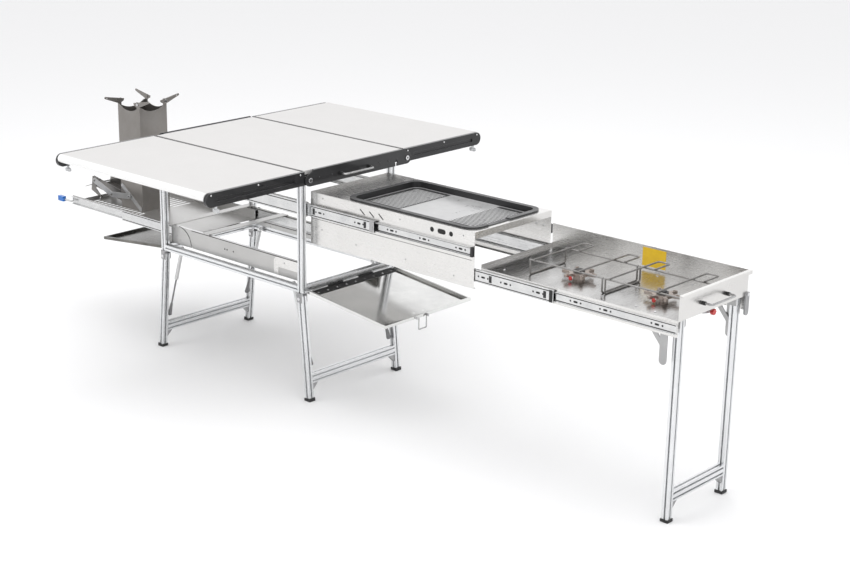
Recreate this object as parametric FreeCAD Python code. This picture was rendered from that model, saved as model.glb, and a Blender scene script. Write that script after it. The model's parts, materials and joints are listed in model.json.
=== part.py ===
import FreeCAD, Part
import math
import os

# Camp kitchen table, deployed: millimetres, +Z up.
# While the pieces are built, X runs from the left posts to the right posts,
# Y from the front posts to the back posts and Z is 0 on the ground.
# export_all() then moves everything so the origin is the middle of the footprint box.

V = FreeCAD.Vector
X_AXIS = V(1, 0, 0)
Y_AXIS = V(0, 1, 0)
Z_AXIS = V(0, 0, 1)

# ---------------------------------------------------------------- driving dimensions
POST_SPAN_X = 823.0          # centre to centre of the corner posts, lengthwise
POST_SPAN_Y = 489.0          # centre to centre of the corner posts, across
PROFILE = 25.4               # side of the slotted aluminium profile
HALF = PROFILE / 2
MID_Y = POST_SPAN_Y / 2
MID_X = POST_SPAN_X / 2

TOP_Z = 915.0                # height of the worktop
BOARD_T = 15.0
TOP_X0 = -38.0               # outer faces of the worktop's side rails
TOP_X1 = POST_SPAN_X - TOP_X0
RAIL_T = 14.0                # width of a worktop side rail
RAIL_H = 52.0                # depth of a worktop side rail
NEAR_END = -500.0
NEAR_SEAM = -18.0
FAR_SEAM = 524.0
FAR_END = 986.0
SEAM_GAP = 3.0
PIVOT_Z = 880.0              # leaf pivots in the link plates
NEAR_PIVOT_Y = 6.0
FAR_PIVOT_Y = 536.0
LINK_T = 4.0

RAIL_Z0 = 433.0              # underside of the lower frame rails
POST_TOP = 862.0

LEG_PIVOT_Z = 409.0
LEG_SPLAY = 5.6              # degrees outward from vertical
LEG_PIN_R = 4.0
RUN = 0.05                   # running clearance on pins
FOOT_CAP = 10.0              # height of the black foot caps
CROSSBAR_H = 38.1
CROSSBAR_Z = 88.0            # centre height of the leg crossbars

STRUT_TOP_X = 75.0           # upper strut anchor, from the post centre
STRUT_TOP_Z = 446.0
STRUT_LOW_X = -20.0
STRUT_LOW_Z = 142.0
STRUT_Y = 26.0               # strut centre line, inward from the post centre
STRUT_BODY = 146.0           # from the upper anchor to the end of the tube
STRUT_ROD_TOP = 139.5        # from the upper anchor to the top of the rod
STRUT_BOOT = 50.0

TRAY_PIVOT_OUT = 17.7        # tray hinge axis, outward from the post centre
TRAY_PIVOT_Z = 437.0
TRAY_LEN = 420.0
TRAY_Y0 = 6.0
TRAY_Y1 = POST_SPAN_Y - TRAY_Y0
TRAY_DROOP = 6.0             # degrees below level when let down
TRAY_LIP = 12.0

SHEET = 1.5
GRIDDLE_X0 = 840.0
GRIDDLE_X1 = 1652.0
GRIDDLE_Y0 = 33.0
GRIDDLE_Z0 = 626.0
GRIDDLE_Z1 = 829.0
GRIDDLE_SLIDE_Z = 759.0
SLIDE_H = 54.0

PAN_X0 = 1004.0
PAN_X1 = 1632.0
PAN_Y0 = 46.0
PAN_Y1 = 440.0
PAN_RIM = 16.0
PAN_DEPTH = 26.0

STOVE_X0 = 1672.0
STOVE_X1 = 2478.0
STOVE_Y0 = 47.0
STOVE_Y1 = POST_SPAN_Y - STOVE_Y0
STOVE_FLOOR = 704.0
STOVE_TOP = 788.0
STOVE_SKIRT = 648.0
STOVE_SLIDE_Z = 675.0
BURNER_X = (1985.0, 2320.0)
BURNER_Y = 187.0

STOVE_LEG_X = 2457.0
STOVE_LEG_Z = 686.0
STOVE_LEG_Y = (84.0, POST_SPAN_Y - 84.0)

RACK_X0 = -700.0
RACK_X1 = 60.0
RACK_Z = 492.0               # top of the slotted rack plate
RACK_SLIDE_Z = 512.0
RACK_Y0 = 42.0

COLUMN_X1 = -362.0           # rocket stove column
COLUMN_W = 150.0
COLUMN_X0 = COLUMN_X1 - COLUMN_W
COLUMN_Y0 = MID_Y - COLUMN_W / 2
COLUMN_Y1 = MID_Y + COLUMN_W / 2
COLUMN_TOP = 954.0
CHUTE_LEN = 244.0
CHUTE_WALL = 46.0
CHUTE_RISE = 10.0            # degrees above level
CHUTE_Y0 = MID_Y - 50
CHUTE_Y1 = MID_Y + 50

NODES = {}


# ---------------------------------------------------------------- general helpers
def keep(name, shapes):
    """Add one solid, or a list of separate solids, to a node."""
    if not isinstance(shapes, list):
        shapes = [shapes]
    NODES.setdefault(name, []).extend(shapes)


def block(x0, x1, y0, y1, z0, z1):
    return Part.makeBox(x1 - x0, y1 - y0, z1 - z0, V(x0, y0, z0))


def rod(start, end, radius):
    """A straight round bar between two points."""
    a, b = V(*start), V(*end)
    return Part.makeCylinder(radius, (b - a).Length, a, b - a)


def fused(shapes):
    result = shapes[0]
    for shape in shapes[1:]:
        result = result.fuse(shape)
    return result.removeSplitter()


def cut(shape, tools):
    return shape.cut(Part.makeCompound(tools))


def turned(shape, centre, axis, degrees):
    copy = shape.copy()
    copy.rotate(V(*centre), axis, degrees)
    return copy


def moved(shape, x, y, z):
    copy = shape.copy()
    copy.translate(V(x, y, z))
    return copy


def mirror_y(shape):
    """The same piece on the other side of the lengthwise middle plane."""
    return shape.mirror(V(0, MID_Y, 0), Y_AXIS)


def both(shape):
    """A piece and its mirror image on the far side."""
    return [shape, mirror_y(shape)]


def mirror_x(shape):
    """The same piece on the other end of the frame."""
    return shape.mirror(V(MID_X, 0, 0), X_AXIS)


def plate_xz(points, y0, thick, arcs=()):
    """A flat plate in an X-Z plane. arcs maps an edge's index to the arc's middle point."""
    arcs = dict(arcs)
    edges = []
    for i, p in enumerate(points):
        q = points[(i + 1) % len(points)]
        a, b = V(p[0], y0, p[1]), V(q[0], y0, q[1])
        if i in arcs:
            m = V(arcs[i][0], y0, arcs[i][1])
            edges.append(Part.Arc(a, m, b).toShape())
        else:
            edges.append(Part.makeLine(a, b))
    return Part.Face(Part.Wire(edges)).extrude(V(0, thick, 0))


def plate_yz(points, x0, thick, arcs=()):
    """A flat plate in a Y-Z plane. arcs maps an edge's index to the arc's middle point."""
    arcs = dict(arcs)
    edges = []
    for i, p in enumerate(points):
        q = points[(i + 1) % len(points)]
        a, b = V(x0, p[0], p[1]), V(x0, q[0], q[1])
        if i in arcs:
            m = V(x0, arcs[i][0], arcs[i][1])
            edges.append(Part.Arc(a, m, b).toShape())
        else:
            edges.append(Part.makeLine(a, b))
    return Part.Face(Part.Wire(edges)).extrude(V(thick, 0, 0))


def bent_wire(points, bend, radius):
    """A round wire through the points, with a tangent arc of the given bend radius at each turn."""
    pts = [V(*p) for p in points]
    edges = []
    here = pts[0]
    for before, corner, after in zip(pts, pts[1:], pts[2:]):
        u = (before - corner).normalize()
        w = (after - corner).normalize()
        half_angle = u.getAngle(w) / 2
        reach = bend / math.tan(half_angle)
        start, end = corner + u * reach, corner + w * reach
        towards = (u + w).normalize()
        middle = corner + towards * (bend / math.sin(half_angle) - bend)
        edges.append(Part.makeLine(here, start))
        edges.append(Part.Arc(start, middle, end).toShape())
        here = end
    edges.append(Part.makeLine(here, pts[-1]))
    path = Part.Wire(edges)
    section = Part.Wire(Part.makeCircle(radius, pts[0], pts[1] - pts[0]))
    return path.makePipeShell([section], True, False)


# ---------------------------------------------------------------- slotted profile
SLOT_MOUTH = 6.5
SLOT_LIP = 2.2
SLOT_ROOM = 13.0
SLOT_DEEP = 5.6


def slot_tool(length, side, across):
    """The T-shaped slot cut from one face of a profile that stands along Z."""
    mouth = Part.makeBox(SLOT_MOUTH, SLOT_DEEP + 1, length + 2,
                         V(across - SLOT_MOUTH / 2, side - SLOT_DEEP, -1))
    room = Part.makeBox(SLOT_ROOM, SLOT_DEEP - SLOT_LIP, length + 2,
                        V(across - SLOT_ROOM / 2, side - SLOT_DEEP, -1))
    return mouth.fuse(room)


def profile(length, tall=PROFILE):
    """Slotted profile along +Z, centred on the axis. tall is its size along local X."""
    bar = Part.makeBox(tall, PROFILE, length, V(-tall / 2, -HALF, 0))
    outline = [e for e in bar.Edges if abs(e.Vertexes[0].Z - e.Vertexes[1].Z) > length / 2]
    bar = bar.makeFillet(1.5, outline)
    offsets = (0.0,) if tall <= PROFILE else (-tall / 4, tall / 4)
    tools = [slot_tool(length, HALF, x) for x in offsets]
    tools += [turned(t, (0, 0, 0), Z_AXIS, 180) for t in tools]
    for quarter in (90, 270):
        side = slot_tool(length, tall / 2, 0)
        tools.append(turned(side, (0, 0, 0), Z_AXIS, quarter))
    return cut(bar, tools)


def profile_x(x0, x1, y, z):
    return moved(turned(profile(x1 - x0), (0, 0, 0), Y_AXIS, 90), x0, y, z)


def profile_y(y0, y1, x, z, tall=PROFILE):
    bar = turned(profile(y1 - y0, tall), (0, 0, 0), X_AXIS, -90)
    return moved(turned(bar, (0, 0, 0), Y_AXIS, 90), x, y0, z)


# ---------------------------------------------------------------- main frame
def make_frame():
    post = profile(POST_TOP - RAIL_Z0)
    keep("corner_posts", [moved(post, x, y, RAIL_Z0)
                          for x in (0, POST_SPAN_X) for y in (0, POST_SPAN_Y)])
    rail_mid = RAIL_Z0 + HALF
    keep("frame_rails", [profile_x(HALF, POST_SPAN_X - HALF, y, rail_mid) for y in (0, POST_SPAN_Y)])
    keep("frame_rails", [profile_y(HALF, POST_SPAN_Y - HALF, x, rail_mid) for x in (0, POST_SPAN_X)])


def make_leg_brackets():
    """A U bracket under each post, with the pin that its leg swings on."""
    web_top, web_t, ear_t, gap = RAIL_Z0, 3.2, 3.0, HALF + 0.6
    low = LEG_PIVOT_Z - 14
    bracket = block(-12, 12, -gap - ear_t, gap + ear_t, web_top - web_t, web_top)
    for y in (-gap - ear_t, gap):
        bracket = bracket.fuse(block(-12, 12, y, y + ear_t, low, web_top - web_t))
    bracket = bracket.removeSplitter()
    hole = rod((0, -40, LEG_PIVOT_Z), (0, 40, LEG_PIVOT_Z), LEG_PIN_R)
    bracket = bracket.cut(hole)
    shank = rod((0, -gap - ear_t, LEG_PIVOT_Z), (0, gap + ear_t, LEG_PIVOT_Z), LEG_PIN_R)
    head = rod((0, -gap - ear_t - 3, LEG_PIVOT_Z), (0, -gap - ear_t, LEG_PIVOT_Z), 6.5)
    nut = rod((0, gap + ear_t, LEG_PIVOT_Z), (0, gap + ear_t + 3, LEG_PIVOT_Z), 6.5)
    pin = fused([shank, head, nut])
    places = [(x, y) for x in (0, POST_SPAN_X) for y in (0, POST_SPAN_Y)]
    keep("leg_brackets", [moved(bracket, x, y, 0) for x, y in places])
    keep("frame_pins", [moved(pin, x, y, 0) for x, y in places])


def slide_member(x0, x1, back_y, web_t, face_y, z_mid, high, lip_t=1.8):
    """A drawer slide member: a channel whose web is at back_y and whose lips reach face_y."""
    z0, z1 = z_mid - high / 2, z_mid + high / 2
    y_web = (back_y, back_y + web_t) if face_y > back_y else (back_y - web_t, back_y)
    y_lip = (min(back_y, face_y), max(back_y, face_y))
    web = block(x0, x1, y_web[0], y_web[1], z0, z1)
    top = block(x0, x1, y_lip[0], y_lip[1], z1 - lip_t, z1)
    low = block(x0, x1, y_lip[0], y_lip[1], z0, z0 + lip_t)
    return fused([web, top, low])


MID_H = 45.0                 # height of an intermediate slide member
INNER_H = 34.0               # height of an inner slide member


def make_griddle_slides():
    """Full-extension slides: outer on the posts, middle, and inner on the drawer."""
    outer = slide_member(-10, 833, 12.9, 2.0, 30.0, GRIDDLE_SLIDE_Z, SLIDE_H)
    middle = slide_member(424, 1184, 17.0, 1.8, 31.0, GRIDDLE_SLIDE_Z, MID_H)
    inner = slide_member(846, 1640, GRIDDLE_Y0 - 0.2, 1.6, 22.0, GRIDDLE_SLIDE_Z, INNER_H)
    bumper = block(1641, 1651, 22.0, GRIDDLE_Y0 - 0.2, GRIDDLE_SLIDE_Z - 17, GRIDDLE_SLIDE_Z + 17)
    keep("slide_outers", both(outer))
    keep("griddle_slide_middles", both(middle))
    keep("griddle_slide_inners", both(inner) + both(bumper))


def make_stove_slides():
    y_wall = GRIDDLE_Y0 + SHEET
    outer = slide_member(845, 1645, y_wall + 0.1, 1.4, 44.0, STOVE_SLIDE_Z, SLIDE_H, 1.4)
    middle = slide_member(1262, 1994, 37.2, 1.4, 44.6, STOVE_SLIDE_Z, MID_H, 1.4)
    inner = slide_member(1690, 2474, STOVE_Y0 - 0.1, 1.3, 40.0, STOVE_SLIDE_Z, INNER_H, 1.4)
    keep("stove_slide_outers", both(outer))
    keep("stove_slide_middles", both(middle))
    keep("stove_slide_inners", both(inner))


# ---------------------------------------------------------------- worktop
def make_board(y0, y1, nose_low, nose_high):
    """A laminated board, with a bull-nose edge on its low-Y or high-Y side."""
    x0, x1 = TOP_X0 + RAIL_T, TOP_X1 - RAIL_T
    nose_h, nose_w = 33.0, 14.0
    board = block(x0, x1, y0 + (nose_w if nose_low else 0), y1 - (nose_w if nose_high else 0),
                  TOP_Z - BOARD_T, TOP_Z)
    noses = []
    for wanted, inside, outside in ((nose_low, y0 + nose_w, y0), (nose_high, y1 - nose_w, y1)):
        if wanted:
            outline = [(inside, TOP_Z), (inside, TOP_Z - nose_h)]
            middle = (outside, TOP_Z - nose_h / 2)
            noses.append(plate_yz(outline, x0, x1 - x0, {1: middle}))
    return board, noses


def rail_shape(y0, y1, x0, round_low, round_high):
    """A black side rail: deep groove along its outer face, ends rounded where asked."""
    z0, z1 = TOP_Z - RAIL_H, TOP_Z
    r = RAIL_H / 2
    low = y0 + (r if round_low else 0)
    high = y1 - (r if round_high else 0)
    points = [(low, z1), (high, z1), (high, z0), (low, z0)]
    arcs = {}
    if round_high:
        arcs[1] = (y1, z0 + r)
    if round_low:
        arcs[3] = (y0, z0 + r)
    bar = plate_yz(points, x0, RAIL_T, arcs)
    outward = x0 > MID_X
    gx0, gx1 = (x0 + RAIL_T - 4.5, x0 + RAIL_T + 1) if outward else (x0 - 1, x0 + 4.5)
    groove = block(gx0, gx1, y0 + 2 * r, y1 - 2 * r, z0 + 17, z0 + 31)
    return bar.cut(groove)


PIVOT_R = 5.0


def make_leaf(name, y_seam, y_end, pivot_y):
    """A folding leaf: board, bull-nose edge and two side rails that carry its pivots."""
    near = y_end < y_seam
    y0, y1 = (y_end, y_seam) if near else (y_seam + SEAM_GAP, y_end)
    board, noses = make_board(y0, y1, near, not near)
    keep(name + "_board", board)
    keep(name + "_edges", noses)
    tongue_r = 17.0
    for x0 in (TOP_X0, TOP_X1 - RAIL_T):
        bar = rail_shape(y0, y1, x0, near, not near)
        if near:
            # the near rail reaches past the seam to its pivot, ending in a half round
            outline = [(y1 - 8, PIVOT_Z + tongue_r), (pivot_y, PIVOT_Z + tongue_r),
                       (pivot_y, PIVOT_Z - tongue_r), (y1 - 8, PIVOT_Z - tongue_r)]
            tongue = plate_yz(outline, x0, RAIL_T, {1: (pivot_y + tongue_r, PIVOT_Z)})
            bar = bar.fuse(tongue).removeSplitter()
        hole = rod((x0 - 1, pivot_y, PIVOT_Z), (x0 + RAIL_T + 1, pivot_y, PIVOT_Z), PIVOT_R + RUN)
        keep(name + "_edges", bar.cut(hole))


def make_centre_top():
    board, _ = make_board(NEAR_SEAM + SEAM_GAP, FAR_SEAM, False, False)
    keep("centre_board", board)
    bars, links, bolts = [], [], []
    end_r = 24.0
    for x0 in (TOP_X0, TOP_X1 - RAIL_T):
        bars.append(block(x0, x0 + RAIL_T, NEAR_PIVOT_Y + 28, FAR_PIVOT_Y - 24, TOP_Z - 40, TOP_Z))
        outward = x0 > MID_X
        lx = x0 + RAIL_T + 0.3 if outward else x0 - LINK_T - 0.3
        outline = [(NEAR_PIVOT_Y, PIVOT_Z + end_r), (NEAR_PIVOT_Y + 20, TOP_Z + 2),
                   (FAR_PIVOT_Y - 20, TOP_Z + 2), (FAR_PIVOT_Y, PIVOT_Z + end_r),
                   (FAR_PIVOT_Y, PIVOT_Z - end_r), (NEAR_PIVOT_Y, PIVOT_Z - end_r)]
        plate = plate_yz(outline, lx, LINK_T,
                         {3: (FAR_PIVOT_Y + end_r, PIVOT_Z), 5: (NEAR_PIVOT_Y - end_r, PIVOT_Z)})
        holes = [rod((lx - 1, y, PIVOT_Z), (lx + LINK_T + 1, y, PIVOT_Z), PIVOT_R)
                 for y in (NEAR_PIVOT_Y, FAR_PIVOT_Y)]
        hook_y = FAR_PIVOT_Y - 62
        holes.append(rod((lx - 1, hook_y, PIVOT_Z - 6), (lx + LINK_T + 1, hook_y, PIVOT_Z - 6), 8))
        holes.append(block(lx - 1, lx + LINK_T + 1, hook_y - 4, hook_y + 4, PIVOT_Z - 30, PIVOT_Z - 8))
        links.append(cut(plate, holes))
        for y in (NEAR_PIVOT_Y, FAR_PIVOT_Y):
            inner = x0 + 1 if outward else x0 + RAIL_T - 1
            outer = lx + LINK_T if outward else lx
            step = 1 if outward else -1
            shank = rod((inner, y, PIVOT_Z), (outer, y, PIVOT_Z), PIVOT_R)
            head = rod((outer, y, PIVOT_Z), (outer + 4 * step, y, PIVOT_Z), 9)
            bolts.append(shank.fuse(head).removeSplitter())
    keep("top_beams", bars)
    keep("link_plates", links)
    keep("frame_pins", bolts)
    # cross beams on the post tops, and the lugs that hold the side rails to them
    beams = []
    for x in (0, POST_SPAN_X):
        beams.append(block(x - 12, x + 12, NEAR_SEAM + 6, FAR_SEAM - 6, POST_TOP, TOP_Z - BOARD_T))
        step = 1 if x > MID_X else -1
        a, b = sorted((x + 12 * step, (TOP_X1 if step > 0 else TOP_X0) - RAIL_T * step))
        beams[-1] = fused([beams[-1], block(a, b, 60, 440, TOP_Z - 40, TOP_Z - BOARD_T - 2)])
    keep("top_beams", beams)
    standoffs, grips = handle(TOP_X1 + 0.3 + LINK_T, 166, 322, 881, 26)
    keep("side_handle", standoffs + [grips])


def handle(x_face, y0, y1, z, reach):
    """A U handle on two black stand-offs; it sticks out along +X from the face."""
    standoffs = [rod((x_face, y, z), (x_face + 12, y, z), 6.5) for y in (y0, y1)]
    grip = bent_wire([(x_face + 12, y0, z), (x_face + reach, y0, z),
                      (x_face + reach, y1, z), (x_face + 12, y1, z)], 9, 4)
    return standoffs, grip


def make_thumb_knobs():
    """Wing knobs under the outer ends of the leaf rails."""
    places = {"near_left": (TOP_X0 + RAIL_T / 2, NEAR_END + 52),
              "near_right": (TOP_X1 - RAIL_T / 2, NEAR_END + 52),
              "far_left": (TOP_X0 + RAIL_T / 2, FAR_END - 40),
              "far_right": (TOP_X1 - RAIL_T / 2, FAR_END - 40)}
    top = TOP_Z - RAIL_H - 0.3
    hub = fused([rod((0, 0, top - 12), (0, 0, top), 5), rod((0, 0, top - 22), (0, 0, top - 12), 8)])
    wings = block(-16, 16, -2.5, 2.5, top - 24, top - 9)
    wings = wings.makeFillet(6, [e for e in wings.Edges if e.Length < 5.1])
    knob = fused([hub, wings])
    for name, (x, y) in places.items():
        keep("thumb_knob_" + name, moved(knob, x, y, 0))


# ---------------------------------------------------------------- main legs and struts
def splayed(shape):
    """Swing a left-hand leg piece outward about the leg pivot."""
    return turned(shape, (0, 0, LEG_PIVOT_Z), Y_AXIS, LEG_SPLAY)


def make_left_legs():
    """The left leg pair; the right pair is its mirror image."""
    below = block(-300, 300, -100, 700, -200, 3)
    legs, caps = [], []
    for y in (0, POST_SPAN_Y):
        leg = moved(profile(440), 0, y, LEG_PIVOT_Z + 10 - 440)
        pin = rod((0, y - 30, LEG_PIVOT_Z), (0, y + 30, LEG_PIVOT_Z), LEG_PIN_R + RUN)
        leg = splayed(leg.cut(pin)).cut(below)
        legs.append(leg)
        cap = splayed(block(-15, 15, y - 15, y + 15, -80, FOOT_CAP))
        hollow = splayed(block(-HALF, HALF, y - HALF, y + HALF, -80, 60))
        hollow = hollow.cut(below)
        cap = cap.cut(block(-300, 300, -100, 700, -200, 0)).cut(hollow)
        caps.append(cap)
    reach = (LEG_PIVOT_Z - CROSSBAR_Z) / math.cos(math.radians(LEG_SPLAY))
    z = LEG_PIVOT_Z - reach
    bar = profile_y(HALF, POST_SPAN_Y - HALF, 0, z, CROSSBAR_H)
    gussets = []
    for y, s in ((HALF, 1), (POST_SPAN_Y - HALF, -1)):
        top = z - CROSSBAR_H / 2
        outline = [(y, top), (y + 30 * s, top), (y, top - 30)]
        gussets.append(plate_yz(outline, -9, 18))
    pins = []
    for y, s in ((HALF, 1), (POST_SPAN_Y - HALF, -1)):
        start = (STRUT_LOW_X, y, STRUT_LOW_Z)
        end = (STRUT_LOW_X, y + 3.0 * s, STRUT_LOW_Z)
        pins.append(rod(start, end, 5.0))
    return legs, caps, splayed(bar), [splayed(g) for g in gussets], pins


def make_strut():
    """One telescoping strut of the left leg pair, in its own plane at STRUT_Y."""
    top = V(STRUT_TOP_X, STRUT_Y, STRUT_TOP_Z)
    low = V(STRUT_LOW_X, STRUT_Y, STRUT_LOW_Z)
    along = (low - top).normalize()
    body = Part.makeCylinder(8, STRUT_BODY - 12, top + along * 12, along)
    eye = rod((top.x, STRUT_Y - 5, top.z), (top.x, STRUT_Y + 5, top.z), 9)
    neck = Part.makeCylinder(5, 14, top, along)
    bore = Part.makeCylinder(3.5 + RUN, 400, top + along * 20, along)
    anchor = rod((top.x, STRUT_Y - 6, top.z), (top.x, STRUT_Y + 6, top.z), 4 + RUN)
    body = fused([body, neck, eye]).cut(bore).cut(anchor)
    span = (low - top).Length
    rod_bar = Part.makeCylinder(3.5, span - STRUT_ROD_TOP - 20, top + along * STRUT_ROD_TOP, along)
    boot = Part.makeCone(5, 8.5, STRUT_BOOT - 4, low - along * STRUT_BOOT, along)
    lug = Part.makeCylinder(8.5, 9, V(low.x, STRUT_Y - 4.5, low.z), Y_AXIS)
    boot = fused([boot, lug]).cut(rod_bar)
    return body, rod_bar, boot


def make_legs_and_struts():
    legs, caps, bar, gussets, pins = make_left_legs()
    body, rod_bar, boot = make_strut()
    anchor = rod((STRUT_TOP_X, HALF, STRUT_TOP_Z), (STRUT_TOP_X, STRUT_Y + 9, STRUT_TOP_Z), 4)
    anchors = [anchor, mirror_y(anchor)]
    for side, flip in (("left", lambda s: s), ("right", mirror_x)):
        keep("legs_" + side, [flip(s) for s in legs + [bar] + gussets + pins + caps])
        keep("strut_bodies_" + side, [flip(s) for s in both(body)])
        keep("strut_rods_" + side, [flip(s) for s in both(rod_bar) + both(boot)])
    keep("frame_pins", anchors + [mirror_x(a) for a in anchors])


# ---------------------------------------------------------------- end trays
HINGE_R = 3.5
HINGE_PIN = 1.6


def drooped(shape):
    """Lower a left-hand tray piece from level to its let-down angle."""
    return turned(shape, (-TRAY_PIVOT_OUT, 0, TRAY_PIVOT_Z), Y_AXIS, -TRAY_DROOP)


def make_left_tray():
    px, pz = -TRAY_PIVOT_OUT, TRAY_PIVOT_Z
    x0, x1 = px - TRAY_LEN, px - 6
    floor = block(x0, x1, TRAY_Y0, TRAY_Y1, pz - 4, pz - 4 + SHEET)
    lips = [block(x0, x0 + SHEET, TRAY_Y0, TRAY_Y1, pz - 4, pz - 4 + TRAY_LIP),
            block(x0, x1, TRAY_Y0, TRAY_Y0 + SHEET, pz - 4, pz - 4 + TRAY_LIP),
            block(x0, x1, TRAY_Y1 - SHEET, TRAY_Y1, pz - 4, pz - 4 + TRAY_LIP)]
    hem = [block(x0, x0 + 9, TRAY_Y0, TRAY_Y1, pz - 4 + TRAY_LIP - SHEET, pz - 4 + TRAY_LIP),
           block(x0, x1, TRAY_Y0, TRAY_Y0 + 9, pz - 4 + TRAY_LIP - SHEET, pz - 4 + TRAY_LIP),
           block(x0, x1, TRAY_Y1 - 9, TRAY_Y1, pz - 4 + TRAY_LIP - SHEET, pz - 4 + TRAY_LIP)]
    pan = fused([floor] + lips + hem)
    holes = [rod((x0 + 42, y, pz - 10), (x0 + 42, y, pz + 4), 4) for y in (205, 255)]
    pan = cut(pan, holes)
    # hinge: barrels alternate along the pin
    count = 5
    pitch = (TRAY_Y1 - TRAY_Y0 - 60) / count
    fixed, swinging = [], []
    for i in range(count):
        y0 = TRAY_Y0 + 30 + i * pitch
        barrel = rod((px, y0 + 0.3, pz), (px, y0 + pitch - 0.3, pz), HINGE_R)
        (swinging if i % 2 else fixed).append(barrel)
    leaf = block(-HALF - 1.6, -HALF - 0.1, TRAY_Y0 + 30, TRAY_Y1 - 30, pz + 0.5, pz + 19)
    pin = rod((px, TRAY_Y0 + 30, pz), (px, TRAY_Y1 - 30, pz), HINGE_PIN)
    reliefs = []
    for barrel in swinging:
        reliefs.append(rod((px, barrel.BoundBox.YMin - 0.3, pz), (px, barrel.BoundBox.YMax + 0.3, pz),
                           HINGE_R + 0.4))
    fixed_leaf = fused([cut(leaf, reliefs)] + fixed).cut(pin)
    bore = rod((px, TRAY_Y0 + 20, pz), (px, TRAY_Y1 - 20, pz), HINGE_PIN + RUN)
    strip = block(px - 44, px - 4.2, TRAY_Y0 + 12, TRAY_Y1 - 12, pz - 4 + SHEET, pz - 1.2)
    for barrel in swinging:
        box = barrel.BoundBox
        strip = strip.fuse(block(px - 8, px, box.YMin, box.YMax, pz - 2.5, pz - 1.2)).fuse(barrel)
    strip = strip.removeSplitter().cut(bore)
    rivets = []
    for i in range(9):
        y = TRAY_Y0 + 36 + i * (TRAY_Y1 - TRAY_Y0 - 72) / 8
        rivets.append(rod((px - 30, y, pz - 1.2), (px - 30, y, pz + 0.4), 3.5))
    # wire bail on two lugs under the outer lip
    lug_x = x0 - 6
    lugs, bail_y = [], (172.0, 232.0)
    for y in bail_y:
        lug = block(x0 - 10, x0, y - 2, y + 2, pz - 5, pz + 5)
        lugs.append(lug.cut(rod((lug_x, y - 3, pz), (lug_x, y + 3, pz), 2.5 + RUN)))
    bail = bent_wire([(lug_x, bail_y[0] - 2, pz), (lug_x, bail_y[0] + 9, pz),
                      (lug_x, bail_y[0] + 9, pz - 46), (lug_x, bail_y[1] - 9, pz - 46),
                      (lug_x, bail_y[1] - 9, pz), (lug_x, bail_y[1] + 2, pz)], 4, 2.5)
    return pan, fixed_leaf, pin, strip, rivets, lugs, bail


def upright(bail):
    """A bail hangs plumb from its lugs, whatever the tray's angle."""
    lug = V(-TRAY_PIVOT_OUT - TRAY_LEN - 6, 0, TRAY_PIVOT_Z)
    swung = drooped(bail)
    centre = drooped(Part.Vertex(lug)).Point
    return turned(swung, (centre.x, 0, centre.z), Y_AXIS, TRAY_DROOP)


def make_trays():
    pan, leaf, pin, strip, rivets, lugs, bail = make_left_tray()
    for side, flip in (("left", lambda s: s), ("right", mirror_x)):
        keep("tray_" + side, [flip(drooped(s)) for s in [pan, strip] + rivets + lugs])
        keep("tray_bail_" + side, flip(upright(bail)))
        keep("tray_hinge_leaves", [flip(leaf), flip(pin)])


# ---------------------------------------------------------------- griddle drawer
def rounded_slab(x0, x1, y0, y1, z0, z1, radius):
    slab = block(x0, x1, y0, y1, z0, z1)
    corners = [e for e in slab.Edges if abs(e.Vertexes[0].Z - e.Vertexes[1].Z) > (z1 - z0) / 2]
    return slab.makeFillet(radius, corners)


def make_griddle_drawer():
    x0, x1, y0, y1 = GRIDDLE_X0, GRIDDLE_X1, GRIDDLE_Y0, POST_SPAN_Y - GRIDDLE_Y0
    z0, z1 = GRIDDLE_Z0, GRIDDLE_Z1
    side = block(x0, x1, y0, y0 + SHEET, z0, z1 - SHEET)
    flange = block(x0, x1, y0, y0 + 11, z0, z0 + SHEET)
    side = side.fuse(flange).removeSplitter()
    holes = []
    for x, r in ((1454, 9), (1543, 9)):
        holes.append(rod((x, y0 - 1, 802), (x, y0 + 3, 802), r))
    oval = rounded_slab(-19, 19, -9, 9, -1, 4, 8.9)
    holes.append(moved(turned(oval, (0, 0, 0), X_AXIS, -90), 1499, y0 - 1, 802))
    front = cut(side, holes)
    for x in (1112, 1159, 1206):
        slit = turned(block(x - 15, x + 15, y0 - 1, y0 + 4, 796, 801), (x, y0, 799), Y_AXIS, 38)
        front = front.cut(slit)
    back_holes = [rod((x, y1 - 4, 769), (x, y1 + 4, 769), 5) for x in (1586, 1618)]
    keep("griddle_sides", [front, cut(mirror_y(side), back_holes)])
    top = block(x0, x1, y0, y1, z1 - SHEET, z1)
    top = top.fuse(block(x1 - SHEET, x1, y0 + SHEET, y1 - SHEET, z1 - 24, z1)).removeSplitter()
    opening = rounded_slab(PAN_X0 + PAN_RIM - 1, PAN_X1 - PAN_RIM + 1, PAN_Y0 + PAN_RIM - 1,
                           PAN_Y1 - PAN_RIM + 1, z1 - 5, z1 + 5, 40)
    keep("griddle_top", top.cut(opening))
    end = block(x0, x0 + SHEET, y0 + 2, y1 - 2, 712, z1 - SHEET)
    keep("griddle_sides", end)
    make_pan()


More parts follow.
